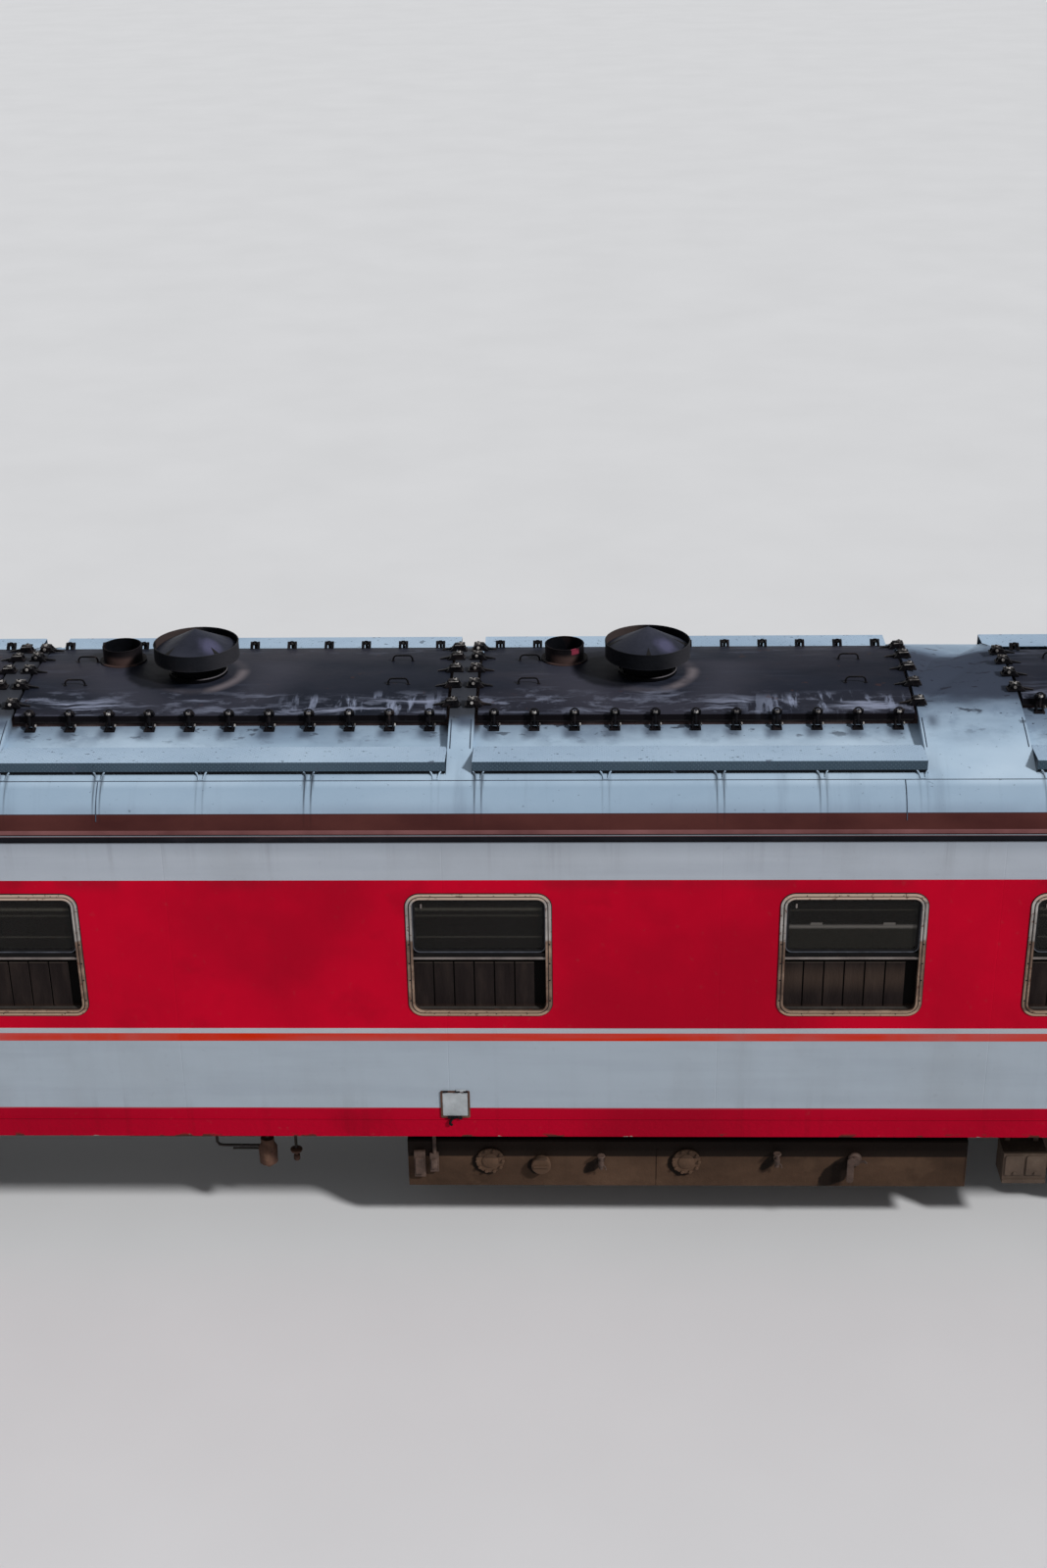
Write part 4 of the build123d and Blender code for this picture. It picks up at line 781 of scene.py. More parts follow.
class Piece:
    """One mesh put together from worked shapes, in the coach's own frame."""

    def __init__(self, name):
        self.name, self.verts, self.faces = name, [], []

    def loft(self, rings, loop=False):
        """Skin over rings of points; loop joins the last ring to the first."""
        start, count = len(self.verts), len(rings[0])
        for ring in rings:
            self.verts.extend(Vector(p) for p in ring)
        for i in range(len(rings) if loop else len(rings) - 1):
            a, b = start + i * count, start + (i + 1) % len(rings) * count
            for k in range(count):
                n = (k + 1) % count
                self.faces.append((a + k, a + n, b + n, b + k))
        if not loop:
            last = start + (len(rings) - 1) * count
            self.faces.append(tuple(reversed(range(start, start + count))))
            self.faces.append(tuple(range(last, last + count)))

    def prism(self, points, place, a, b):
        """Outline points (p, q) stretched from a to b; place turns (p, q, s) into a point."""
        self.loft([[place(p, q, s) for p, q in points] for s in (a, b)])

    def box(self, one, other):
        """A box between two corners."""
        (x0, y0, z0), (x1, y1, z1) = map(min, one, other), map(max, one, other)
        self.loft([[(x0, y0, z), (x1, y0, z), (x1, y1, z), (x0, y1, z)] for z in (z0, z1)])

    def turned(self, centre, axis, profile, sides=20, loop=False):
        """A profile of (radius, height) pairs turned round an axis."""
        along = Vector(axis).normalized()
        rings = [circle(Vector(centre) + along * height, axis, radius, sides) for radius, height in profile]
        self.loft(rings, loop)

    def tube(self, path, radius, sides=10, loop=False):
        """A round bar along a path."""
        path = [Vector(p) for p in path]
        count = len(path)
        rings = []
        side = None
        for i, p in enumerate(path):
            back = path[i - 1] if i or loop else p
            ahead = path[(i + 1) % count] if i < count - 1 or loop else p
            along = (ahead - back).normalized()
            if side is None:
                side = axes(along)[0]
            side = (side - along * side.dot(along)).normalized()
            other = along.cross(side)
            rings.append([p + (side * math.cos(a) + other * math.sin(a)) * radius for a in angles(sides)])
        self.loft(rings, loop)

    def hoop(self, centre, axis, radius, wire, count):
        """A round bar bent to a circle."""
        self.tube(circle(centre, axis, radius, count), wire, 8, True)

    def ring(self, outer, inner, place, a, b):
        """A flat frame between two outlines, from a to b."""
        lines = ((outer, a), (outer, b), (inner, b), (inner, a))
        self.loft([[place(p, q, s) for p, q in line] for line, s in lines], True)

    def bolt(self, place, axis, radius, height):
        """A hexagon head with a chamfered top."""
        self.turned(place, axis, [(radius, 0), (radius, height * 0.8), (radius * 0.82, height)], 6)

    def bolts(self, centre, axis, reach, count, radius, height):
        """A circle of bolts."""
        for place in circle(centre, axis, reach, count):
            self.bolt(place, axis, radius, height)

    def rivet(self, place, axis, radius):
        """A low domed head."""
        dome = [(radius, 0), (radius * 0.9, radius * 0.3), (radius * 0.45, radius * 0.55)]
        self.turned(place, axis, dome, 8)

    def make(self, material, slot, body="carbody", bevel=0.0):
        mesh = bpy.data.meshes.new(self.name)
        mesh.from_pydata([tuple(v) for v in self.verts], [], self.faces)
        work = bmesh.new()
        work.from_mesh(mesh)
        bmesh.ops.recalc_face_normals(work, faces=work.faces)
        work.to_mesh(mesh)
        work.free()
        mesh.materials.append(MAT[material])
        mesh.shade_smooth()
        mesh.set_sharp_from_angle(angle=math.radians(35))
        made = bpy.data.objects.new(self.name, mesh)
        bpy.context.scene.collection.objects.link(made)
        if bevel:
            edge = made.modifiers.new("edge", "BEVEL")
            edge.width = bevel
            edge.segments = 2
            edge.limit_method = "ANGLE"
            edge.angle_limit = math.radians(40)
        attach(made, body)
        return made


def angles(count, start=0.0):
    """Equal steps round a circle."""
    return [2 * math.pi * k / count + start for k in range(count)]


def axes(axis):
    """Two directions across an axis, and the axis."""
    w = Vector(axis).normalized()
    u = w.cross(Vector(UP) if abs(w.z) < 0.9 else Vector((1, 0, 0))).normalized()
    return u, w.cross(u), w


def circle(centre, axis, radius, count):
    """Points of a circle round an axis."""
    u, v, _ = axes(axis)
    return [Vector(centre) + (u * math.cos(a) + v * math.sin(a)) * radius for a in angles(count)]


def frame_of(origin, out):
    """A local frame: p runs outward, q upward, s along."""
    o, e, w = Vector(origin), Vector(out), Vector(UP)
    t = w.cross(e)
    return lambda p, q, s: o + e * p + w * q + t * s


def on_side(side, y=HALF_WIDTH):
    """Places (x, z, s) on a long side, s outward from a face at y."""
    return lambda x, z, s: Vector((x, side * (y + s), z))


def rounded(x, z, width, height, corner, steps=6):
    """Outline of a rounded rectangle."""
    points = []
    for k, (sx, sz) in enumerate(((1, 1), (-1, 1), (-1, -1), (1, -1))):
        cx, cz = x + sx * (width / 2 - corner), z + sz * (height / 2 - corner)
        for i in range(steps + 1):
            a = math.pi / 2 * (k + i / steps)
            points.append((cx + corner * math.cos(a), cz + corner * math.sin(a)))
    return points


def over_roof(x, y0, y1, steps, lift, radius=ROOF_R):
    """Points over the roof from one distance from the middle to another."""
    places = [y0 + (y1 - y0) * i / steps for i in range(steps + 1)]
    return [(x, y, roof_z(y, radius) + lift) for y in places]


def over_cant(x, side, a, lift):
    """A point on the tight bend beside the roof, at an angle above the level."""
    reach = CANT_R + lift
    return x, side * (CANT_Y + reach * math.cos(a)), CANT_Z + reach * math.sin(a)


# Roof fittings

def clamp(steel, bright, at, foot, fall, end_clamp):
    """A swing bolt clamp: arched lug on the lid, bolt with its nut, and the hinge block on the roof."""
    across = at(0, 0, 1) - at(0, 0, 0)
    bolt, tail, lift = (0.050, 0.046, 0.006) if end_clamp else (0.030, 0.024, 0.003)
    base = foot + fall * bolt
    end = bolt + tail
    drop = base + fall * tail
    leg = [(-0.030, 0.0), (0.004, 0.0), (bolt + 0.006, lift + 0.028), (bolt + 0.006, lift + 0.044),
           (bolt - 0.012, lift + 0.046), (-0.016, lift + 0.018), (-0.034, 0.008)]
    cheek = [(bolt - 0.020, base + 0.002), (end, drop + 0.002), (end - 0.006, drop + 0.030),
             (bolt + 0.012, base + 0.058), (bolt - 0.010, base + 0.056)]
    for s in SIDES:
        steel.prism(leg, at, s * 0.016, s * 0.038)
        steel.prism(cheek, at, s * 0.020, s * 0.031)
    end, drop = end + 0.008, drop + fall * 0.008
    back = bolt - 0.022
    plate = [(back, base + 0.001), (end, drop + 0.001), (end, drop + 0.014), (back, base + 0.014)]
    steel.prism(plate, at, -0.040, 0.040)
    arch = [(-0.014, 0.004, 0.031), (-0.006, 0.030, 0.029), (0.004, 0.046, 0.020), (0.008, 0.054, 0.008)]
    steel.tube([at(p, q, -s) for p, q, s in arch] + [at(*place) for place in reversed(arch)], 0.0075, 8)
    if end_clamp:
        arm = [(-0.105, 0.001), (0.010, 0.001), (bolt, lift + 0.030), (bolt, lift + 0.044),
               (-0.020, 0.024), (-0.098, 0.008)]
        steel.prism(arm, at, -0.009, 0.009)
        cover = [(0.002, lift + 0.030), (bolt + 0.034, lift + 0.036), (bolt + 0.034, lift + 0.048),
                 (0.002, lift + 0.044)]
        steel.prism(cover, at, -0.040, 0.040)
        glint = [(0.006, lift + 0.0445), (bolt + 0.030, lift + 0.0485), (bolt + 0.030, lift + 0.0510),
                 (0.006, lift + 0.0470)]
        bright.prism(glint, at, -0.040, -0.033)
    pin = base + 0.036
    steel.turned(at(bolt, pin, -0.040), across, [(0.009, 0), (0.009, 0.080)], 8)
    bright.bolt(at(bolt, pin, 0.038), across, 0.013, 0.010)
    top = lift + (0.048 if end_clamp else 0.026)
    thread = [(0.011, 0), (0.011, top + 0.012 - pin), (0.008, top + 0.020 - pin)]
    steel.turned(at(bolt, pin, 0), UP, thread, 10)
    steel.turned(at(bolt, top - 0.006, 0), UP, [(0.024, 0), (0.024, 0.005)], 14)
    bright.bolt(at(bolt, top - 0.001, 0), UP, 0.019, 0.016)


def clamps():
    steel, bright = Piece("clamp_brackets"), Piece("clamp_bolts")
    for first, length, half, count, end_count in HATCHES:
        edge = lid_z(half)
        recess = roof_z(half) - RECESS_DEPTH
        slope = (roof_z(RECESS_Y) - recess) / (RECESS_Y - half + 0.015)
        step = (length - 0.25) / (count - 1)
        for i in range(count):
            for side in SIDES:
                at = frame_of((first + 0.125 + step * i, side * half, edge), (0, side, 0))
                clamp(steel, bright, at, recess + slope * 0.015 - edge, slope, False)
        pitch = 2 * (half - 0.13) / (end_count - 1)
        for i in range(end_count):
            y = -(half - 0.13) + pitch * i
            low = max(abs(y) - 0.026, 0)
            for x, out in ((first, -1), (first + length, 1)):
                at = frame_of((x, y, lid_z(low)), (out, 0, 0))
                clamp(steel, bright, at, roof_z(low) - lid_z(low), 0.0, True)
    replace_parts(steel.make("black", "black_steel", bevel=0.0015), "hatch_clamps")
    bright.make("bolt", "black_steel")


def lifting_loops():
    loops = Piece("lifting_loops")
    bend = [(0.080, 0.0), (0.076, 0.030), (0.066, 0.046), (0.050, 0.052)]
    for first, length, *_ in HATCHES:
        for x in (first + 0.38, first + length - 0.40):
            for y in (-0.245, 0.245):
                z = lid_z(y) - 0.004
                path = [(x - out, y, z + up) for out, up in bend]
                loops.tube(path + [(x + out, y, z + up) for out, up in reversed(bend)], 0.0075)
                for s in (-0.08, 0.08):
                    loops.turned((x + s, y, z), UP, [(0.016, 0), (0.015, 0.007), (0.009, 0.011)], 12)
    loops.make("black", "black_steel")


def ventilators():
    """Mushroom ventilators with a folded cone of four seams, and the rims of the exhaust stubs."""
    metal, gaps, rims = Piece("ventilators"), Piece("vent_slit_shades"), Piece("stub_rims")
    neck = [(0.190, 4.430), (0.232, 4.430), (0.232, 4.480), (0.228, 4.484), (0.206, 4.486),
            (0.206, 4.650), (0.198, 4.650), (0.190, 4.470)]
    ring = [(0.328, 4.588), (0.336, 4.588), (0.336, 4.713), (0.328, 4.713)]
    stay = [(0.200, 4.602), (0.330, 4.602), (0.330, 4.640), (0.300, 4.660), (0.200, 4.710)]
    sheet = ((0.0005, 0.0), (0.10, 0.0), (0.20, 0.0), (0.321, 0.0),
             (0.323, 0.003), (0.321, 0.007), (0.20, 0.007), (0.0005, 0.007))
    for (first, *_), phase in zip(HATCHES, CONE_TURN):
        x = first + VENT_OFFSET
        turn = math.radians(phase)

        def cone(radius, a, drop=0.0, x=x, turn=turn):
            """A point of the folded cone, which is flatter between its seams."""
            fall = CONE_FALL * radius * (1 + 0.07 * abs(math.sin(2 * (a - turn)))) + drop
            return Vector((x + math.cos(a) * radius, math.sin(a) * radius, CONE_TIP - fall))

        metal.loft([[cone(radius, a, drop) for a in angles(96, turn)] for radius, drop in sheet])
        metal.turned((x, 0, 0), UP, neck, 48, True)
        metal.turned((x, 0, 0), UP, ring, 72, True)
        for a in angles(4, turn):
            metal.prism(stay, frame_of((x, 0, 0), (math.cos(a), math.sin(a), 0)), -0.004, 0.004)
            # Thin black wedges at the foot of each seam: painted shade in the slits of the folded cone.
            rise = Vector((0, 0, 0.0016))
            for side in SIDES:
                foot = [cone(0.204, a), cone(0.316, a), cone(0.316, a + side * 0.105)]
                gaps.loft([[p - rise for p in foot], [p + rise for p in foot]])
        metal.hoop((x, 0, 4.591), UP, 0.3345, 0.0045, 72)
        metal.hoop((x, 0, 4.711), UP, 0.3335, 0.0050, 72)
        metal.bolts((x, 0, 4.484), UP, 0.219, 12, 0.009, 0.009)
        rims.hoop((first + STUB_OFFSET, STUB_Y, lid_z(STUB_Y + 0.157) + 0.150), UP, 0.153, 0.0065, 40)
    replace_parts(metal.make("vent", "black_steel"), "roof_ventilators")
    gaps.make("rubber", "black_steel")
    rims.make("stub", "black_steel")


def roof_seams():
    """Welded joints of the roof sheets, as thin raised beads."""
    beads = Piece("roof_seams")
    over = 0.0015
    bend = [math.radians(61 - 45 * i / 8) for i in range(9)]
    long_seam = math.atan2(4.119 - CANT_Z, 1.3435 - CANT_Y)
    for side in SIDES:
        ends = [over_cant(x, side, long_seam, over) for x in (-SHEET_END, SHEET_END)]
        beads.tube(ends, 0.003, 6)
        for x in (-6.14, -0.12, 5.90, 11.0):
            beads.tube([over_cant(x, side, a, over) for a in bend], 0.0035, 6)
        for first, length, *_ in HATCHES:
            for x in (first - 0.047, first + length + 0.047):
                beads.tube(over_roof(x, side * 0.75, side * 1.06, 8, over), 0.0035, 6)
    for x in (-8.45, -6.4):
        beads.tube(over_roof(x, -1.29, 0, 8, over), 0.0035, 6)
        beads.tube(over_roof(x, 0, 1.29, 8, over), 0.0035, 6)
    beads.make("seam", "roof_paint")


def lid_edges():
    """Rubber seal between each lid and its coaming."""
    seals = Piece("lid_seals")
    for first, length, half, _, _ in HATCHES:
        z = lid_z(half) - LID_THICK - 0.004
        for side in SIDES:
            low = (first, side * (half + 0.0015), z - 0.006)
            seals.box(low, (first + length, side * (half - 0.0125), z + 0.003))
    seals.make("rubber", "rubber")


def board_brackets():
    """Bent straps that hold the outer edges of the roof boards."""
    feet = Piece("board_brackets")
    strap = [(0.040, 1.286, 4.168), (0.030, 1.296, 4.158), (0.020, 1.310, 4.138), (0.018, 1.334, 4.1275)]
    for (first, *_), places in zip(HATCHES, BRACKETS):
        for x in (first + place for place in places):
            for side in SIDES:
                path = [(x - along, side * y, z) for along, y, z in strap]
                feet.tube(path + [(x + along, side * y, z) for along, y, z in reversed(strap)], 0.0065, 8)
    feet.make("roof", "roof_paint")


# Side walls

def window_details():
    """Gaskets, beads, sashes, rails, catches, screws and sills of the windows."""
    seals, sashes, rails = Piece("window_seals"), Piece("window_sashes"), Piece("window_rails")
    screws, bars, beads = Piece("window_screws"), Piece("window_bars"), Piece("window_beads")
    half = WINDOW_WIDTH / 2
    wide = half - 0.046
    low, high = PANE_Z
    sill = [(2.254, -0.052), (2.254, -0.020), (2.259, -0.020), (2.266, -0.037), (2.266, -0.052)]
    for x in WINDOW_X:

        def frame_line(inset, corner, x=x):
            """The frame's outline, moved inwards."""
            return rounded(x, WINDOW_Z, WINDOW_WIDTH - 2 * inset, WINDOW_HEIGHT - 2 * inset, corner, 8)

        def sash_line(inset, corner, x=x):
            """The upper pane's outline, moved inwards."""
            height = high - low + 0.088 - 2 * inset
            return rounded(x, (low + high) / 2, WINDOW_WIDTH - 2 * inset, height, corner, 8)

        for side in SIDES:
            place = on_side(side)
            out = (0, side, 0)
            seals.tube([place(px, pz, 0.001) for px, pz in frame_line(0.0, 0.11)], 0.0065, 8, True)
            seals.ring(frame_line(0.021, 0.089), frame_line(0.0265, 0.084), place, 0.006, 0.0095)
            beads.ring(frame_line(0.030, 0.080), frame_line(0.0445, 0.066), place, 0.006, 0.0135)
            sashes.ring(sash_line(0.046, 0.055), sash_line(0.052, 0.050), place, -0.030, -0.010)
            seals.ring(sash_line(0.052, 0.050), sash_line(0.070, 0.036), place, -0.030, -0.016)
            rails.prism(rounded(x, 2.714, 2 * wide + 0.010, 0.018, 0.004, 3), place, -0.0075, 0.002)
            rails.prism(rounded(x - half + 0.118, 3.160, 0.013, 0.034, 0.004, 3), place, -0.024, -0.010)
            bars.loft([[place(px, z, s) for z, s in sill] for px in (x - wide + 0.03, x + wide - 0.03)])
            for z in (2.344, 2.525, 2.673, 2.840):
                for s in SIDES:
                    screws.rivet(place(x + s * (half - 0.014), z, 0.0075), out, 0.0065)
            for k in range(4):
                for z in (2.223, 3.259):
                    screws.rivet(place(x - 0.36 + 0.24 * k, z, 0.0075), out, 0.0045)
    seals.make("rubber", "rubber")
    beads.make("window", "window_frame")
    sashes.make("sash", "window_frame")
    rails.make("sash_bar", "window_frame", bevel=0.001)
    bars.make("inner_bar", "window_frame")
    screws.make("black", "window_frame")


def service_flap():
    """Small hinged flap in the lower band of the near side, with its hanging latch."""
    rim, leaf, latch = Piece("flap_rim"), Piece("flap_leaf"), Piece("flap_latch")
    x, z = 2.4945, 1.3875
    side = on_side(-1)

    def place(px, pz, s):
        return side(x + px, z + pz, s)

    outer, inner = rounded(0, 0, 0.233, 0.250, 0.012, 3), rounded(0, 0, 0.203, 0.220, 0.008, 3)
    rim.ring(outer, inner, place, 0.0, 0.009)
    leaf.prism(rounded(0, 0, 0.200, 0.217, 0.008, 3), place, -0.001, 0.005)
    leaf.prism(rounded(0.045, 0.128, 0.075, 0.018, 0.004, 3), place, 0.0, 0.012)
    for s in (-0.075, 0.02, 0.085):
        latch.tube([place(s - 0.018, 0.121, 0.012), place(s + 0.018, 0.121, 0.012)], 0.007, 8)
    latch.prism(rounded(-0.020, -0.116, 0.085, 0.020, 0.006, 3), place, 0.008, 0.020)
    latch.prism(rounded(0.040, -0.122, 0.026, 0.030, 0.006, 3), place, 0.006, 0.016)
    hook = ((-0.020, -0.122, 0.016), (-0.040, -0.150, 0.018),
            (-0.046, -0.178, 0.015), (-0.030, -0.192, 0.012))
    latch.tube([place(*point) for point in hook], 0.011, 8)
    rim.make("rust", "window_frame", bevel=0.0015)
    leaf.make("flap", "rail_steel", bevel=0.0015)
    latch.make("black", "black_steel")


def wall_beads():
    """The welded lip over the sill, open at the doors."""
    beads = Piece("wall_beads")
    lip = [(1.243, 0.0), (1.243, 0.004), (1.249, 0.005), (1.251, 0.0)]
    for side in SIDES:
        place = on_side(side)
        for span in ((-SHEET_END, -7.06), (-6.16, 11.56), (12.31, SHEET_END)):
            beads.loft([[place(x, z, s) for z, s in lip] for x in span])
    beads.make("underframe", "red_paint")


def door_fittings():
    for kind, *sizes in (("entrance", 11.935, 0.375, 12.235), ("service", -6.610, 0.450, -6.235)):
        for name, side in (("near", -1), ("far", 1)):
            door_set(f"{kind}_{name}_leaf", on_side(side), *sizes, (0, side, 0))
    for name, end in (("front", 1), ("rear", -1)):

        def place(y, z, s, end=end):
            return Vector((end * (HALF_LENGTH + s), end * y, z))

        door_set(f"end_{name}_leaf", place, 0.0, 0.400, 0.32, (end, 0, 0))


def door_set(body, place, x, width, handle, out):
    """Pane, rubber, handle and lock of one door leaf."""
    z = 2.64
    pane, seal, metal = Piece(body + "_pane"), Piece(body + "_seal"), Piece(body + "_handle")
    pane.prism(rounded(x, z, width - 0.004, 0.556, 0.058, 6), place, -0.036, -0.030)
    for less, corner, s, wire in ((0.0, 0.06, 0.001, 0.007), (0.012, 0.056, -0.028, 0.006)):
        line = rounded(x, z, width - less, 0.56 - less, corner, 6)
        seal.tube([place(px, pz, s) for px, pz in line], wire, 8, True)
    metal.prism(rounded(handle, 2.30, 0.045, 0.150, 0.012, 4), place, 0.0, 0.004)
    grip = ((0.0, 0.002), (0.0, 0.022), (0.012, 0.028), (0.105, 0.028), (0.120, 0.020))
    metal.tube([place(handle - along, 2.33, s) for along, s in grip], 0.008)
    metal.rivet(place(handle, 2.262, 0.004), out, 0.012)
    pane.make("door_glass", "glass", body)
    seal.make("rubber", "rubber", body)
    metal.make("bare", "rail_steel", body)


# Below the floor

def tank_details():
    steel, rust, box = Piece("tank_bolts"), Piece("tank_valves"), Piece("box_lids")
    plug = [(0.079, -0.030), (0.079, -0.006), (0.070, 0.002)]
    for side in SIDES:
        out = (0, side, 0)
        place = on_side(side, TANK_Y)
        for x, z in ((2.749, 0.714), (4.343, 0.709)):
            steel.bolts(place(x, z, 0.019), out, 0.104, 10, 0.015, 0.015)
            steel.turned(place(x, z, 0.019), out, [(0.066, 0), (0.066, 0.006), (0.060, 0.010)], 28)
        steel.turned(place(3.164, 0.686, 0.060), out, plug, 28)
        steel.box(place(3.104, 0.678, 0.060), place(3.224, 0.694, 0.074))
        for x in (2.085, 4.106, 6.605):
            steel.box(place(x - 0.004, 0.53, 0.0), place(x + 0.004, 0.82, 0.004))
        for x in (6.996, 7.166):
            box.prism(rounded(x, 0.668, 0.150, 0.185, 0.012, 3), place, 0.0, 0.010)
            box.bolt(place(x, 0.600, 0.009), out, 0.013, 0.012)
        box.box(place(6.905, 0.500, -0.002), place(7.255, 0.535, 0.012))
        for x0, x1, z0, z1, y in BOXES:
            place = on_side(side, y)
            wide = (x1 - x0) / 3
            for k in range(3):
                x = x0 + wide * (k + 0.5)
                line = rounded(x, (z0 + z1) / 2, wide - 0.03, z1 - z0 - 0.05, 0.02, 3)
                box.prism(line, place, 0.0, 0.008)
                box.bolt(place(x, z0 + 0.06, 0.007), out, 0.014, 0.012)
    place = on_side(-1, TANK_Y)
    out = (0, -1, 0)
    stem = [(0.026, 0), (0.026, 0.012), (0.016, 0.014), (0.016, 0.060)]
    valve = [(0.019, 0), (0.019, 0.03), (0.024, 0.034), (0.024, 0.07), (0.014, 0.074), (0.014, 0.115)]
    for x, z in ((3.651, 0.716), (5.073, 0.740)):
        rust.turned(place(x, z, -0.002), out, stem, 14)
        rust.turned(place(x, z - 0.050, 0.055), UP, valve, 14)
        rust.turned(place(x, z + 0.066, 0.055), UP, [(0.030, 0), (0.034, 0.006), (0.030, 0.012)], 14)
        spout = ((0.012, -0.020, 0.055), (0.034, -0.030, 0.060), (0.040, -0.062, 0.060))
        rust.tube([place(x + px, z + pz, s) for px, pz, s in spout], 0.006, 8)
    filler = [(0.055, 0), (0.055, 0.02), (0.040, 0.03), (0.040, 0.06)]
    rust.turned(place(5.704, 0.735, -0.002), out, filler, 20)
    rust.prism(rounded(5.665, 0.665, 0.056, 0.235, 0.024, 5), place, 0.060, 0.078)
    chain = ((5.740, 0.735, 0.050), (5.775, 0.742, 0.055), (5.795, 0.722, 0.055))
    rust.tube([place(*point) for point in chain], 0.010, 8)
    for x, z0, z1, w in ((2.176, 0.567, 0.808, 0.045), (2.295, 0.616, 0.790, 0.035)):
        rust.box(place(x - w, z0, -0.004), place(x + w, z1, 0.035))
        rust.box(place(x - w + 0.012, z0 + 0.04, 0.035), place(x + w - 0.012, z1 - 0.05, 0.055))
    riser = ((0.79, 0.02), (1.0, 0.02), (1.10, -0.05), (1.235, -0.05))
    rust.tube([place(2.300, z, s) for z, s in riser], 0.016)
    steel.make("tank", "tank_paint", bevel=0.001)
    rust.make("valve", "tank_paint", bevel=0.0015)
    box.make("box", "tank_paint", bevel=0.0015)


def pipes():
    """Pipes, valves and hangers below the floor."""
    run, valve = Piece("under_pipes"), Piece("under_valves")
    y = -1.20
    elbow = ((0.497, 1.14), (0.497, 0.775), (0.515, 0.752), (0.54, 0.745), (0.86, 0.742))
    run.tube([(x, y, z) for x, z in elbow], 0.012)
    run.tube([(0.62, y + 0.02, 0.70), (0.86, y + 0.02, 0.70)], 0.009, 8)
    run.tube([(0.912, y, 0.81), (0.912, y, 1.15)], 0.016)
    run.tube([(1.146, y, 0.70), (1.146, y, 1.15)], 0.012)
    for x, z, sides, profile in (
            (0.912, 0.570, 20, [(0.05, 0), (0.075, 0.02), (0.078, 0.16), (0.055, 0.20), (0.055, 0.25)]),
            (0.912, 0.535, 12, [(0.014, 0), (0.02, 0.006), (0.02, 0.03), (0.012, 0.036)]),
            (1.146, 0.600, 14, [(0.018, 0), (0.026, 0.01), (0.026, 0.05), (0.016, 0.056), (0.016, 0.12)]),
            (1.146, 0.690, 16, [(0.045, 0), (0.05, 0.01), (0.05, 0.02), (0.03, 0.03)])):
        valve.turned((x, y, z), UP, profile, sides)
    long_runs = ((-8.1, -7.2, 1.30, 1.125, 0.016), (-5.9, 11.2, 1.18, 1.12, 0.020),
                 (-5.9, 11.2, 1.24, 1.13, 0.013))
    for side in SIDES:
        for x0, x1, out, z, radius in long_runs:
            run.tube([(x0, side * out, z), (x1, side * out, z)], radius)
        for k in range(16):
            x = -5.25 + 1.05 * k
            run.box((x - 0.015, side * 1.15, 1.095), (x + 0.015, side * 1.26, 1.142))
        for x in (-3.45, -2.45):
            run.hoop((x, side * 0.7, 0.78), (1, 0, 0), 0.2015, 0.008, 32)
    run.make("under", "frame_paint")
    valve.make("rust", "frame_paint")


# Bogies

def coil(piece, place, height, radius, wire, turns):
    """A coil spring with closed, flattened ends."""
    x, y, low = place
    path = []
    steps = int(turns * 18)
    for i in range(steps + 1):
        share = i / steps
        eased = share - 0.35 * math.sin(2 * math.pi * share) / (2 * math.pi)
        a = 2 * math.pi * turns * share
        z = low + wire + (height - 2 * wire) * eased
        path.append((x + math.cos(a) * radius, y + math.sin(a) * radius, z))
    piece.tube(path, wire, 8)


def spring_set(piece, place, height, coils, plate, thick):
    """Coil springs one inside the other, between two round plates."""
    x, y, low = place
    for radius, wire, turns in coils:
        coil(piece, place, height, radius, wire, turns)
    for z in (low, low + height - thick):
        piece.turned((x, y, z), UP, [(plate, 0), (plate, thick)], 24)


def bogies():
    cap = [(0.045, 0), (0.045, 0.006), (0.03, 0.012)]
    axle_coils = (0.066, 0.0145, 5.5), (0.036, 0.009, 7.5)
    bolster_coils = (0.083, 0.0165, 5.5), (0.047, 0.010, 7.5)
    strut = [(0.016, 0), (0.016, 0.03), (0.027, 0.034), (0.027, 0.17),
             (0.032, 0.172), (0.032, 0.27), (0.016, 0.274), (0.016, 0.30)]
    for name, end in (("front", 1), ("rear", -1)):
        springs, bolts = Piece("coil_springs_" + name), Piece("bogie_bolts_" + name)
        dampers = Piece("bogie_dampers_" + name)
        centre = end * BOGIE_X
        for side in SIDES:
            out = (0, side, 0)
            y = side * SPRING_Y
            for wheel in (-HALF_WHEELBASE, HALF_WHEELBASE):
                x = centre + wheel
                for offset in (-0.245, 0.245):
                    spring_set(springs, (x + offset, y, 0.440), 0.260, axle_coils, 0.082, 0.008)
                    bolts.bolt((x + offset, y, 0.8290), UP, 0.018, 0.016)
                bolts.bolts((x, side * 1.1145, AXLE_Z), out, 0.128, 8, 0.012, 0.012)
                bolts.bolts((x, side * 1.1345, AXLE_Z), out, 0.075, 6, 0.009, 0.009)
                bolts.turned((x, side * 1.1345, AXLE_Z), out, cap, 20)
            for offset in (-0.125, 0.125):
                spring_set(springs, (centre + offset, y, 0.500), 0.290, bolster_coils, 0.1, 0.010)
            for way in SIDES:
                x = centre + way * 0.29
                dampers.turned((x, side * 1.105, 0.50), UP, strut, 16)
                dampers.box((x - 0.03, side * 1.070, 0.455), (x + 0.03, side * 1.135, 0.502))
                inner = (centre + way * 0.186, side * 1.075, 0.796)
                dampers.box(inner, (x + way * 0.03, side * 1.135, 0.835))
            for k in range(-3, 4):
                bolts.rivet((centre + 0.13 * k, side * 1.0745, 0.445), out, 0.011)
        body = "bogie_" + name
        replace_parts(springs.make("spring", "spring_steel", body), "bogie_springs_" + name)
        bolts.make("cast", "cast_steel", body)
        dampers.make("black", "cast_steel", body)


# Ends

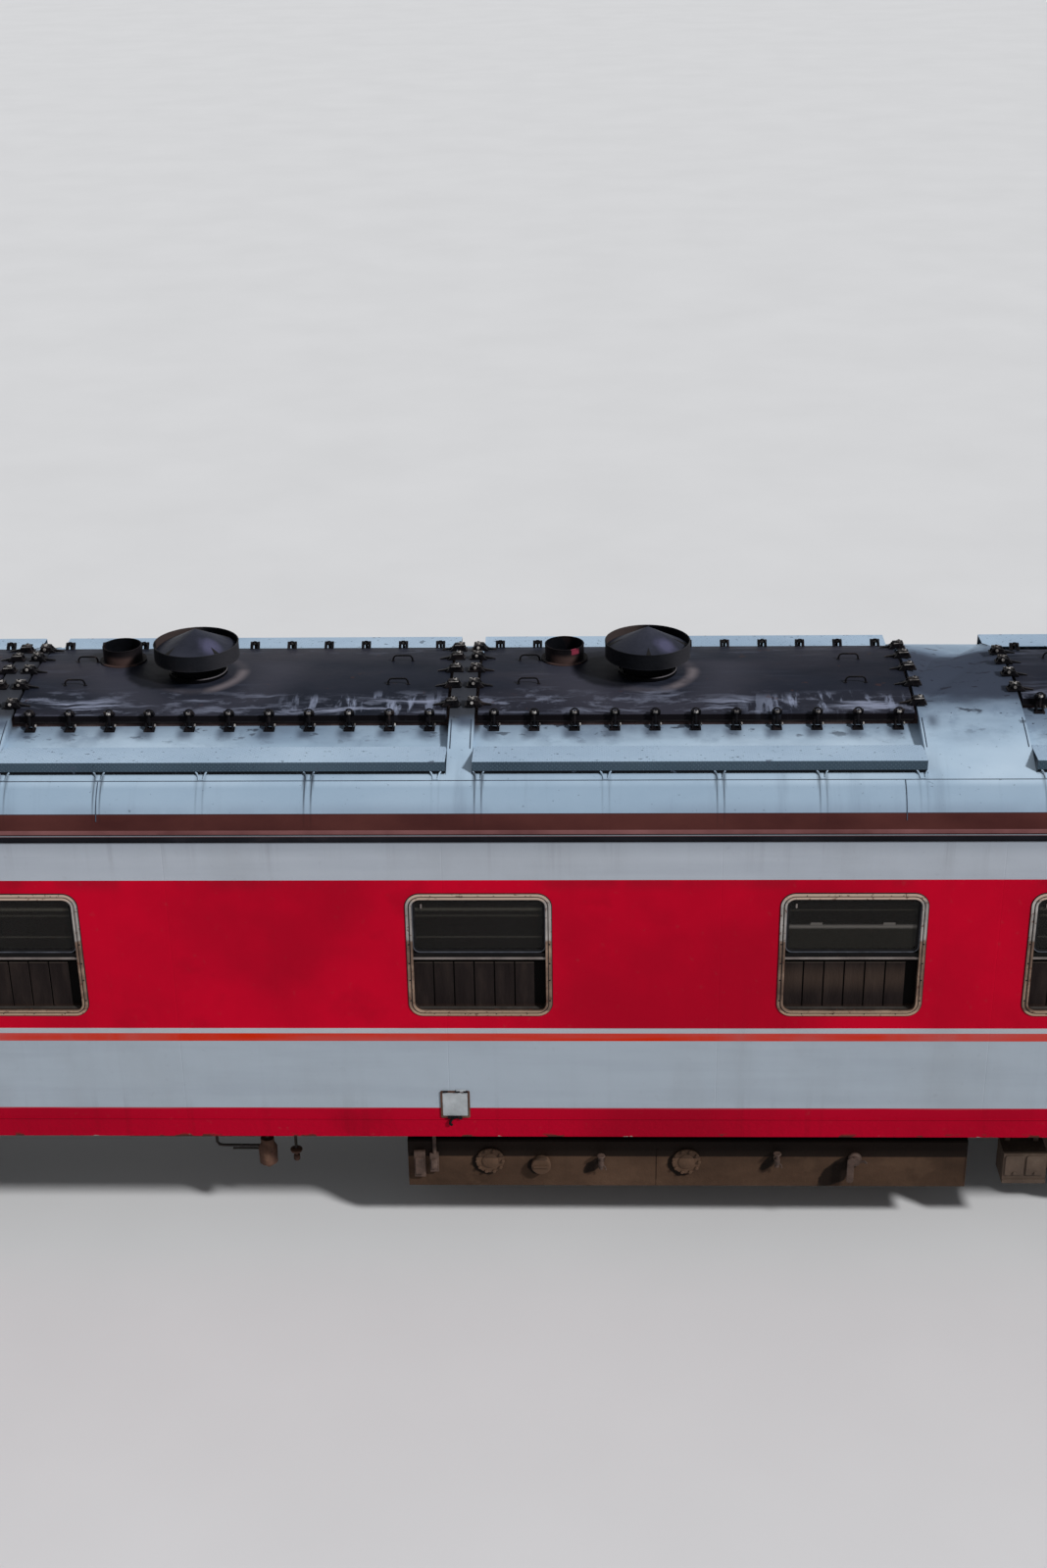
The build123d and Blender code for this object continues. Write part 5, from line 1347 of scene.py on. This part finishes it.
def end_details():
    lens, rims, steel = Piece("lamp_lenses"), Piece("lamp_rims"), Piece("end_fittings")
    tap = [(0.030, 0), (0.030, 0.05), (0.022, 0.055), (0.022, 0.11)]
    for end in (1, -1):
        out = (end, 0, 0)
        wall = end * HALF_LENGTH
        for side in SIDES:
            y, z = side * 1.33, 3.35
            at = (wall + end * 0.070, y, z)
            lens.turned(at, out, [(0.062, -0.004), (0.060, 0.006), (0.046, 0.016), (0.02, 0.021)], 32)
            rims.hoop(at, out, 0.068, 0.007, 32)
            arch = [(y + 0.078 * math.cos(a), z + 0.078 * math.sin(a)) for a in angles(24)[:13]]
            hood = ((0.0, 0.0), (0.095, 0.0), (0.095, 0.004), (0.0, 0.004))
            rims.loft([[(wall + end * s, py, pz + lift) for py, pz in arch] for s, lift in hood], True)
            rung = ((0.0, 1.52), (0.05, 1.52), (0.05, 2.30), (0.0, 2.30))
            steel.tube([(wall + end * s, side * 0.80, pz) for s, pz in rung], 0.011)
            steel.turned((wall, side * 0.62, 1.16), out, tap, 16)
            handle = ((0.05, 1.19), (0.05, 1.23), (0.10, 1.235))
            steel.tube([(wall + end * s, side * 0.62, pz) for s, pz in handle], 0.007, 8)
        lever = ((0.06, 1.42, 1.02), (0.06, 1.42, 1.13), (0.06, 0.35, 1.13), (0.10, 0.26, 1.12))
        steel.tube([(wall + end * s, py, pz) for s, py, pz in lever], 0.012)
        for y in (1.30, 0.60):
            steel.box((wall, y - 0.02, 1.11), (wall + end * 0.075, y + 0.02, 1.15))
        for z in (1.27, 3.47):
            for y in (-0.60, 0.60):
                steel.bolt((wall + end * 0.330, y, z), out, 0.014, 0.010)
    lens.make("lamp", "lamp_glass")
    rims.make("black", "lamp_glass")
    steel.make("rail", "rail_steel")


def step_grips():
    """Raised teeth on the treads of the step ladders."""
    teeth = Piece("step_teeth")
    for a, b in STEP_X:
        count = int((b - a) / 0.05)
        for side in SIDES:
            for z in (0.504, 0.784):
                for x in (a + (b - a) * k / count for k in range(1, count)):
                    teeth.box((x - 0.004, side * 1.31, z - 0.001), (x + 0.004, side * 1.49, z + 0.006))
    teeth.make("rust", "frame_paint")


def fan_details():
    """Rolled edges and bolts of the fan cowls, and joints of the air conditioner's casing."""
    rims, joints = Piece("fan_rims"), Piece("cooler_joints")
    for x in FAN_X:
        rims.hoop((x, 0, 4.560), UP, 0.535, 0.010, 64)
        rims.hoop((x, 0, 4.420), UP, 0.551, 0.006, 64)
        rims.bolts((x, 0, 4.566), UP, 0.535, 16, 0.010, 0.008)
    for x in (11.262, 11.9, 12.668):
        for side in SIDES:
            joints.tube(over_roof(x, side * 0.02, side * 1.11, 12, 0.001, COOLER_R), 0.005, 6)
            for place in over_roof(x + 0.025, side * 0.1, side * 1.05, 5, -0.001, COOLER_R):
                joints.bolt(place, UP, 0.008, 0.006)
    rims.make("louvre", "louvre_paint")
    joints.make("cooler", "roof_paint")


clamps()
lifting_loops()
ventilators()
roof_seams()
lid_edges()
board_brackets()
window_details()
service_flap()
wall_beads()
door_fittings()
tank_details()
pipes()
bogies()
end_details()
step_grips()
fan_details()


# Floor, lights and camera

def stage():
    floor = Piece("studio_floor")
    floor.box((-260, -260, -0.60), (260, 260, -0.0005))
    mesh = bpy.data.meshes.new(floor.name)
    mesh.from_pydata([tuple(v) for v in floor.verts], [], floor.faces)
    s = Shader("studio_floor", 0.9, 0.0, 0.2)
    s.colour = s.ramp(s.noise(0.4, 3), (0.3, (205, 205, 206)), (0.7, (209, 209, 210)))
    mesh.materials.append(s.done())
    ground = bpy.data.objects.new(floor.name, mesh)
    bpy.context.scene.collection.objects.link(ground)


def lights():
    """A dim sky that looks pale to the camera, in metal and through glass, with two suns."""
    world = bpy.data.worlds.new("studio")
    bpy.context.scene.world = world
    world.use_nodes = True
    nodes, link = world.node_tree.nodes, world.node_tree.links.new
    rays = nodes.new("ShaderNodeLightPath").outputs
    seen = rays["Is Camera Ray"]
    for kind in ("Is Glossy Ray", "Is Transmission Ray"):
        either = nodes.new("ShaderNodeMath")
        either.operation = "MAXIMUM"
        link(seen, either.inputs[0])
        link(rays[kind], either.inputs[1])
        seen = either.outputs[0]
    both = nodes.new("ShaderNodeMixShader")
    link(seen, both.inputs[0])
    skies = ((nodes["Background"], (0.93, 0.96, 1.0), 0.32),
             (nodes.new("ShaderNodeBackground"), (0.80, 0.81, 0.82), 0.85))
    for socket, (sky, colour, strength) in zip(both.inputs[1:], skies):
        sky.inputs["Color"].default_value = (*colour, 1.0)
        sky.inputs["Strength"].default_value = strength
        link(sky.outputs[0], socket)
    link(both.outputs[0], nodes["World Output"].inputs["Surface"])
    suns = (("key", (0.66, -0.43, 0.62), 3.15, 6), ("fill", (-0.50, 0.70, 0.50), 0.7, 70))
    for name, towards, power, soft in suns:
        lamp = bpy.data.lights.new(name, "SUN")
        lamp.energy = power
        lamp.angle = math.radians(soft)
        made = bpy.data.objects.new(name, lamp)
        made.rotation_mode = "QUATERNION"
        made.rotation_quaternion = Vector(towards).to_track_quat("Z", "Y")
        bpy.context.scene.collection.objects.link(made)


def camera():
    """The photograph's camera, solved from the coach's edges."""
    pitch, yaw, roll = (math.radians(angle) for angle in (25.158606, -1.769824, -0.902625))
    ahead = Vector((math.sin(yaw) * math.cos(pitch), math.cos(yaw) * math.cos(pitch), -math.sin(pitch)))
    level = Vector((math.cos(yaw), -math.sin(yaw), 0))
    above = level.cross(ahead)
    right = level * math.cos(roll) + above * math.sin(roll)
    up = above * math.cos(roll) - level * math.sin(roll)
    lens = bpy.data.cameras.new("camera")
    lens.sensor_width = 36.0
    lens.lens = 2113.965 / 1600 * lens.sensor_width
    made = bpy.data.objects.new("camera", lens)
    place = Matrix((right, up, -ahead)).transposed().to_4x4()
    place.translation = Vector((3.5, -15.318336, 10.656982))
    made.matrix_world = place
    bpy.context.scene.collection.objects.link(made)
    bpy.context.scene.camera = made


stage()
lights()
camera()
bpy.context.scene.view_settings.view_transform = "Standard"
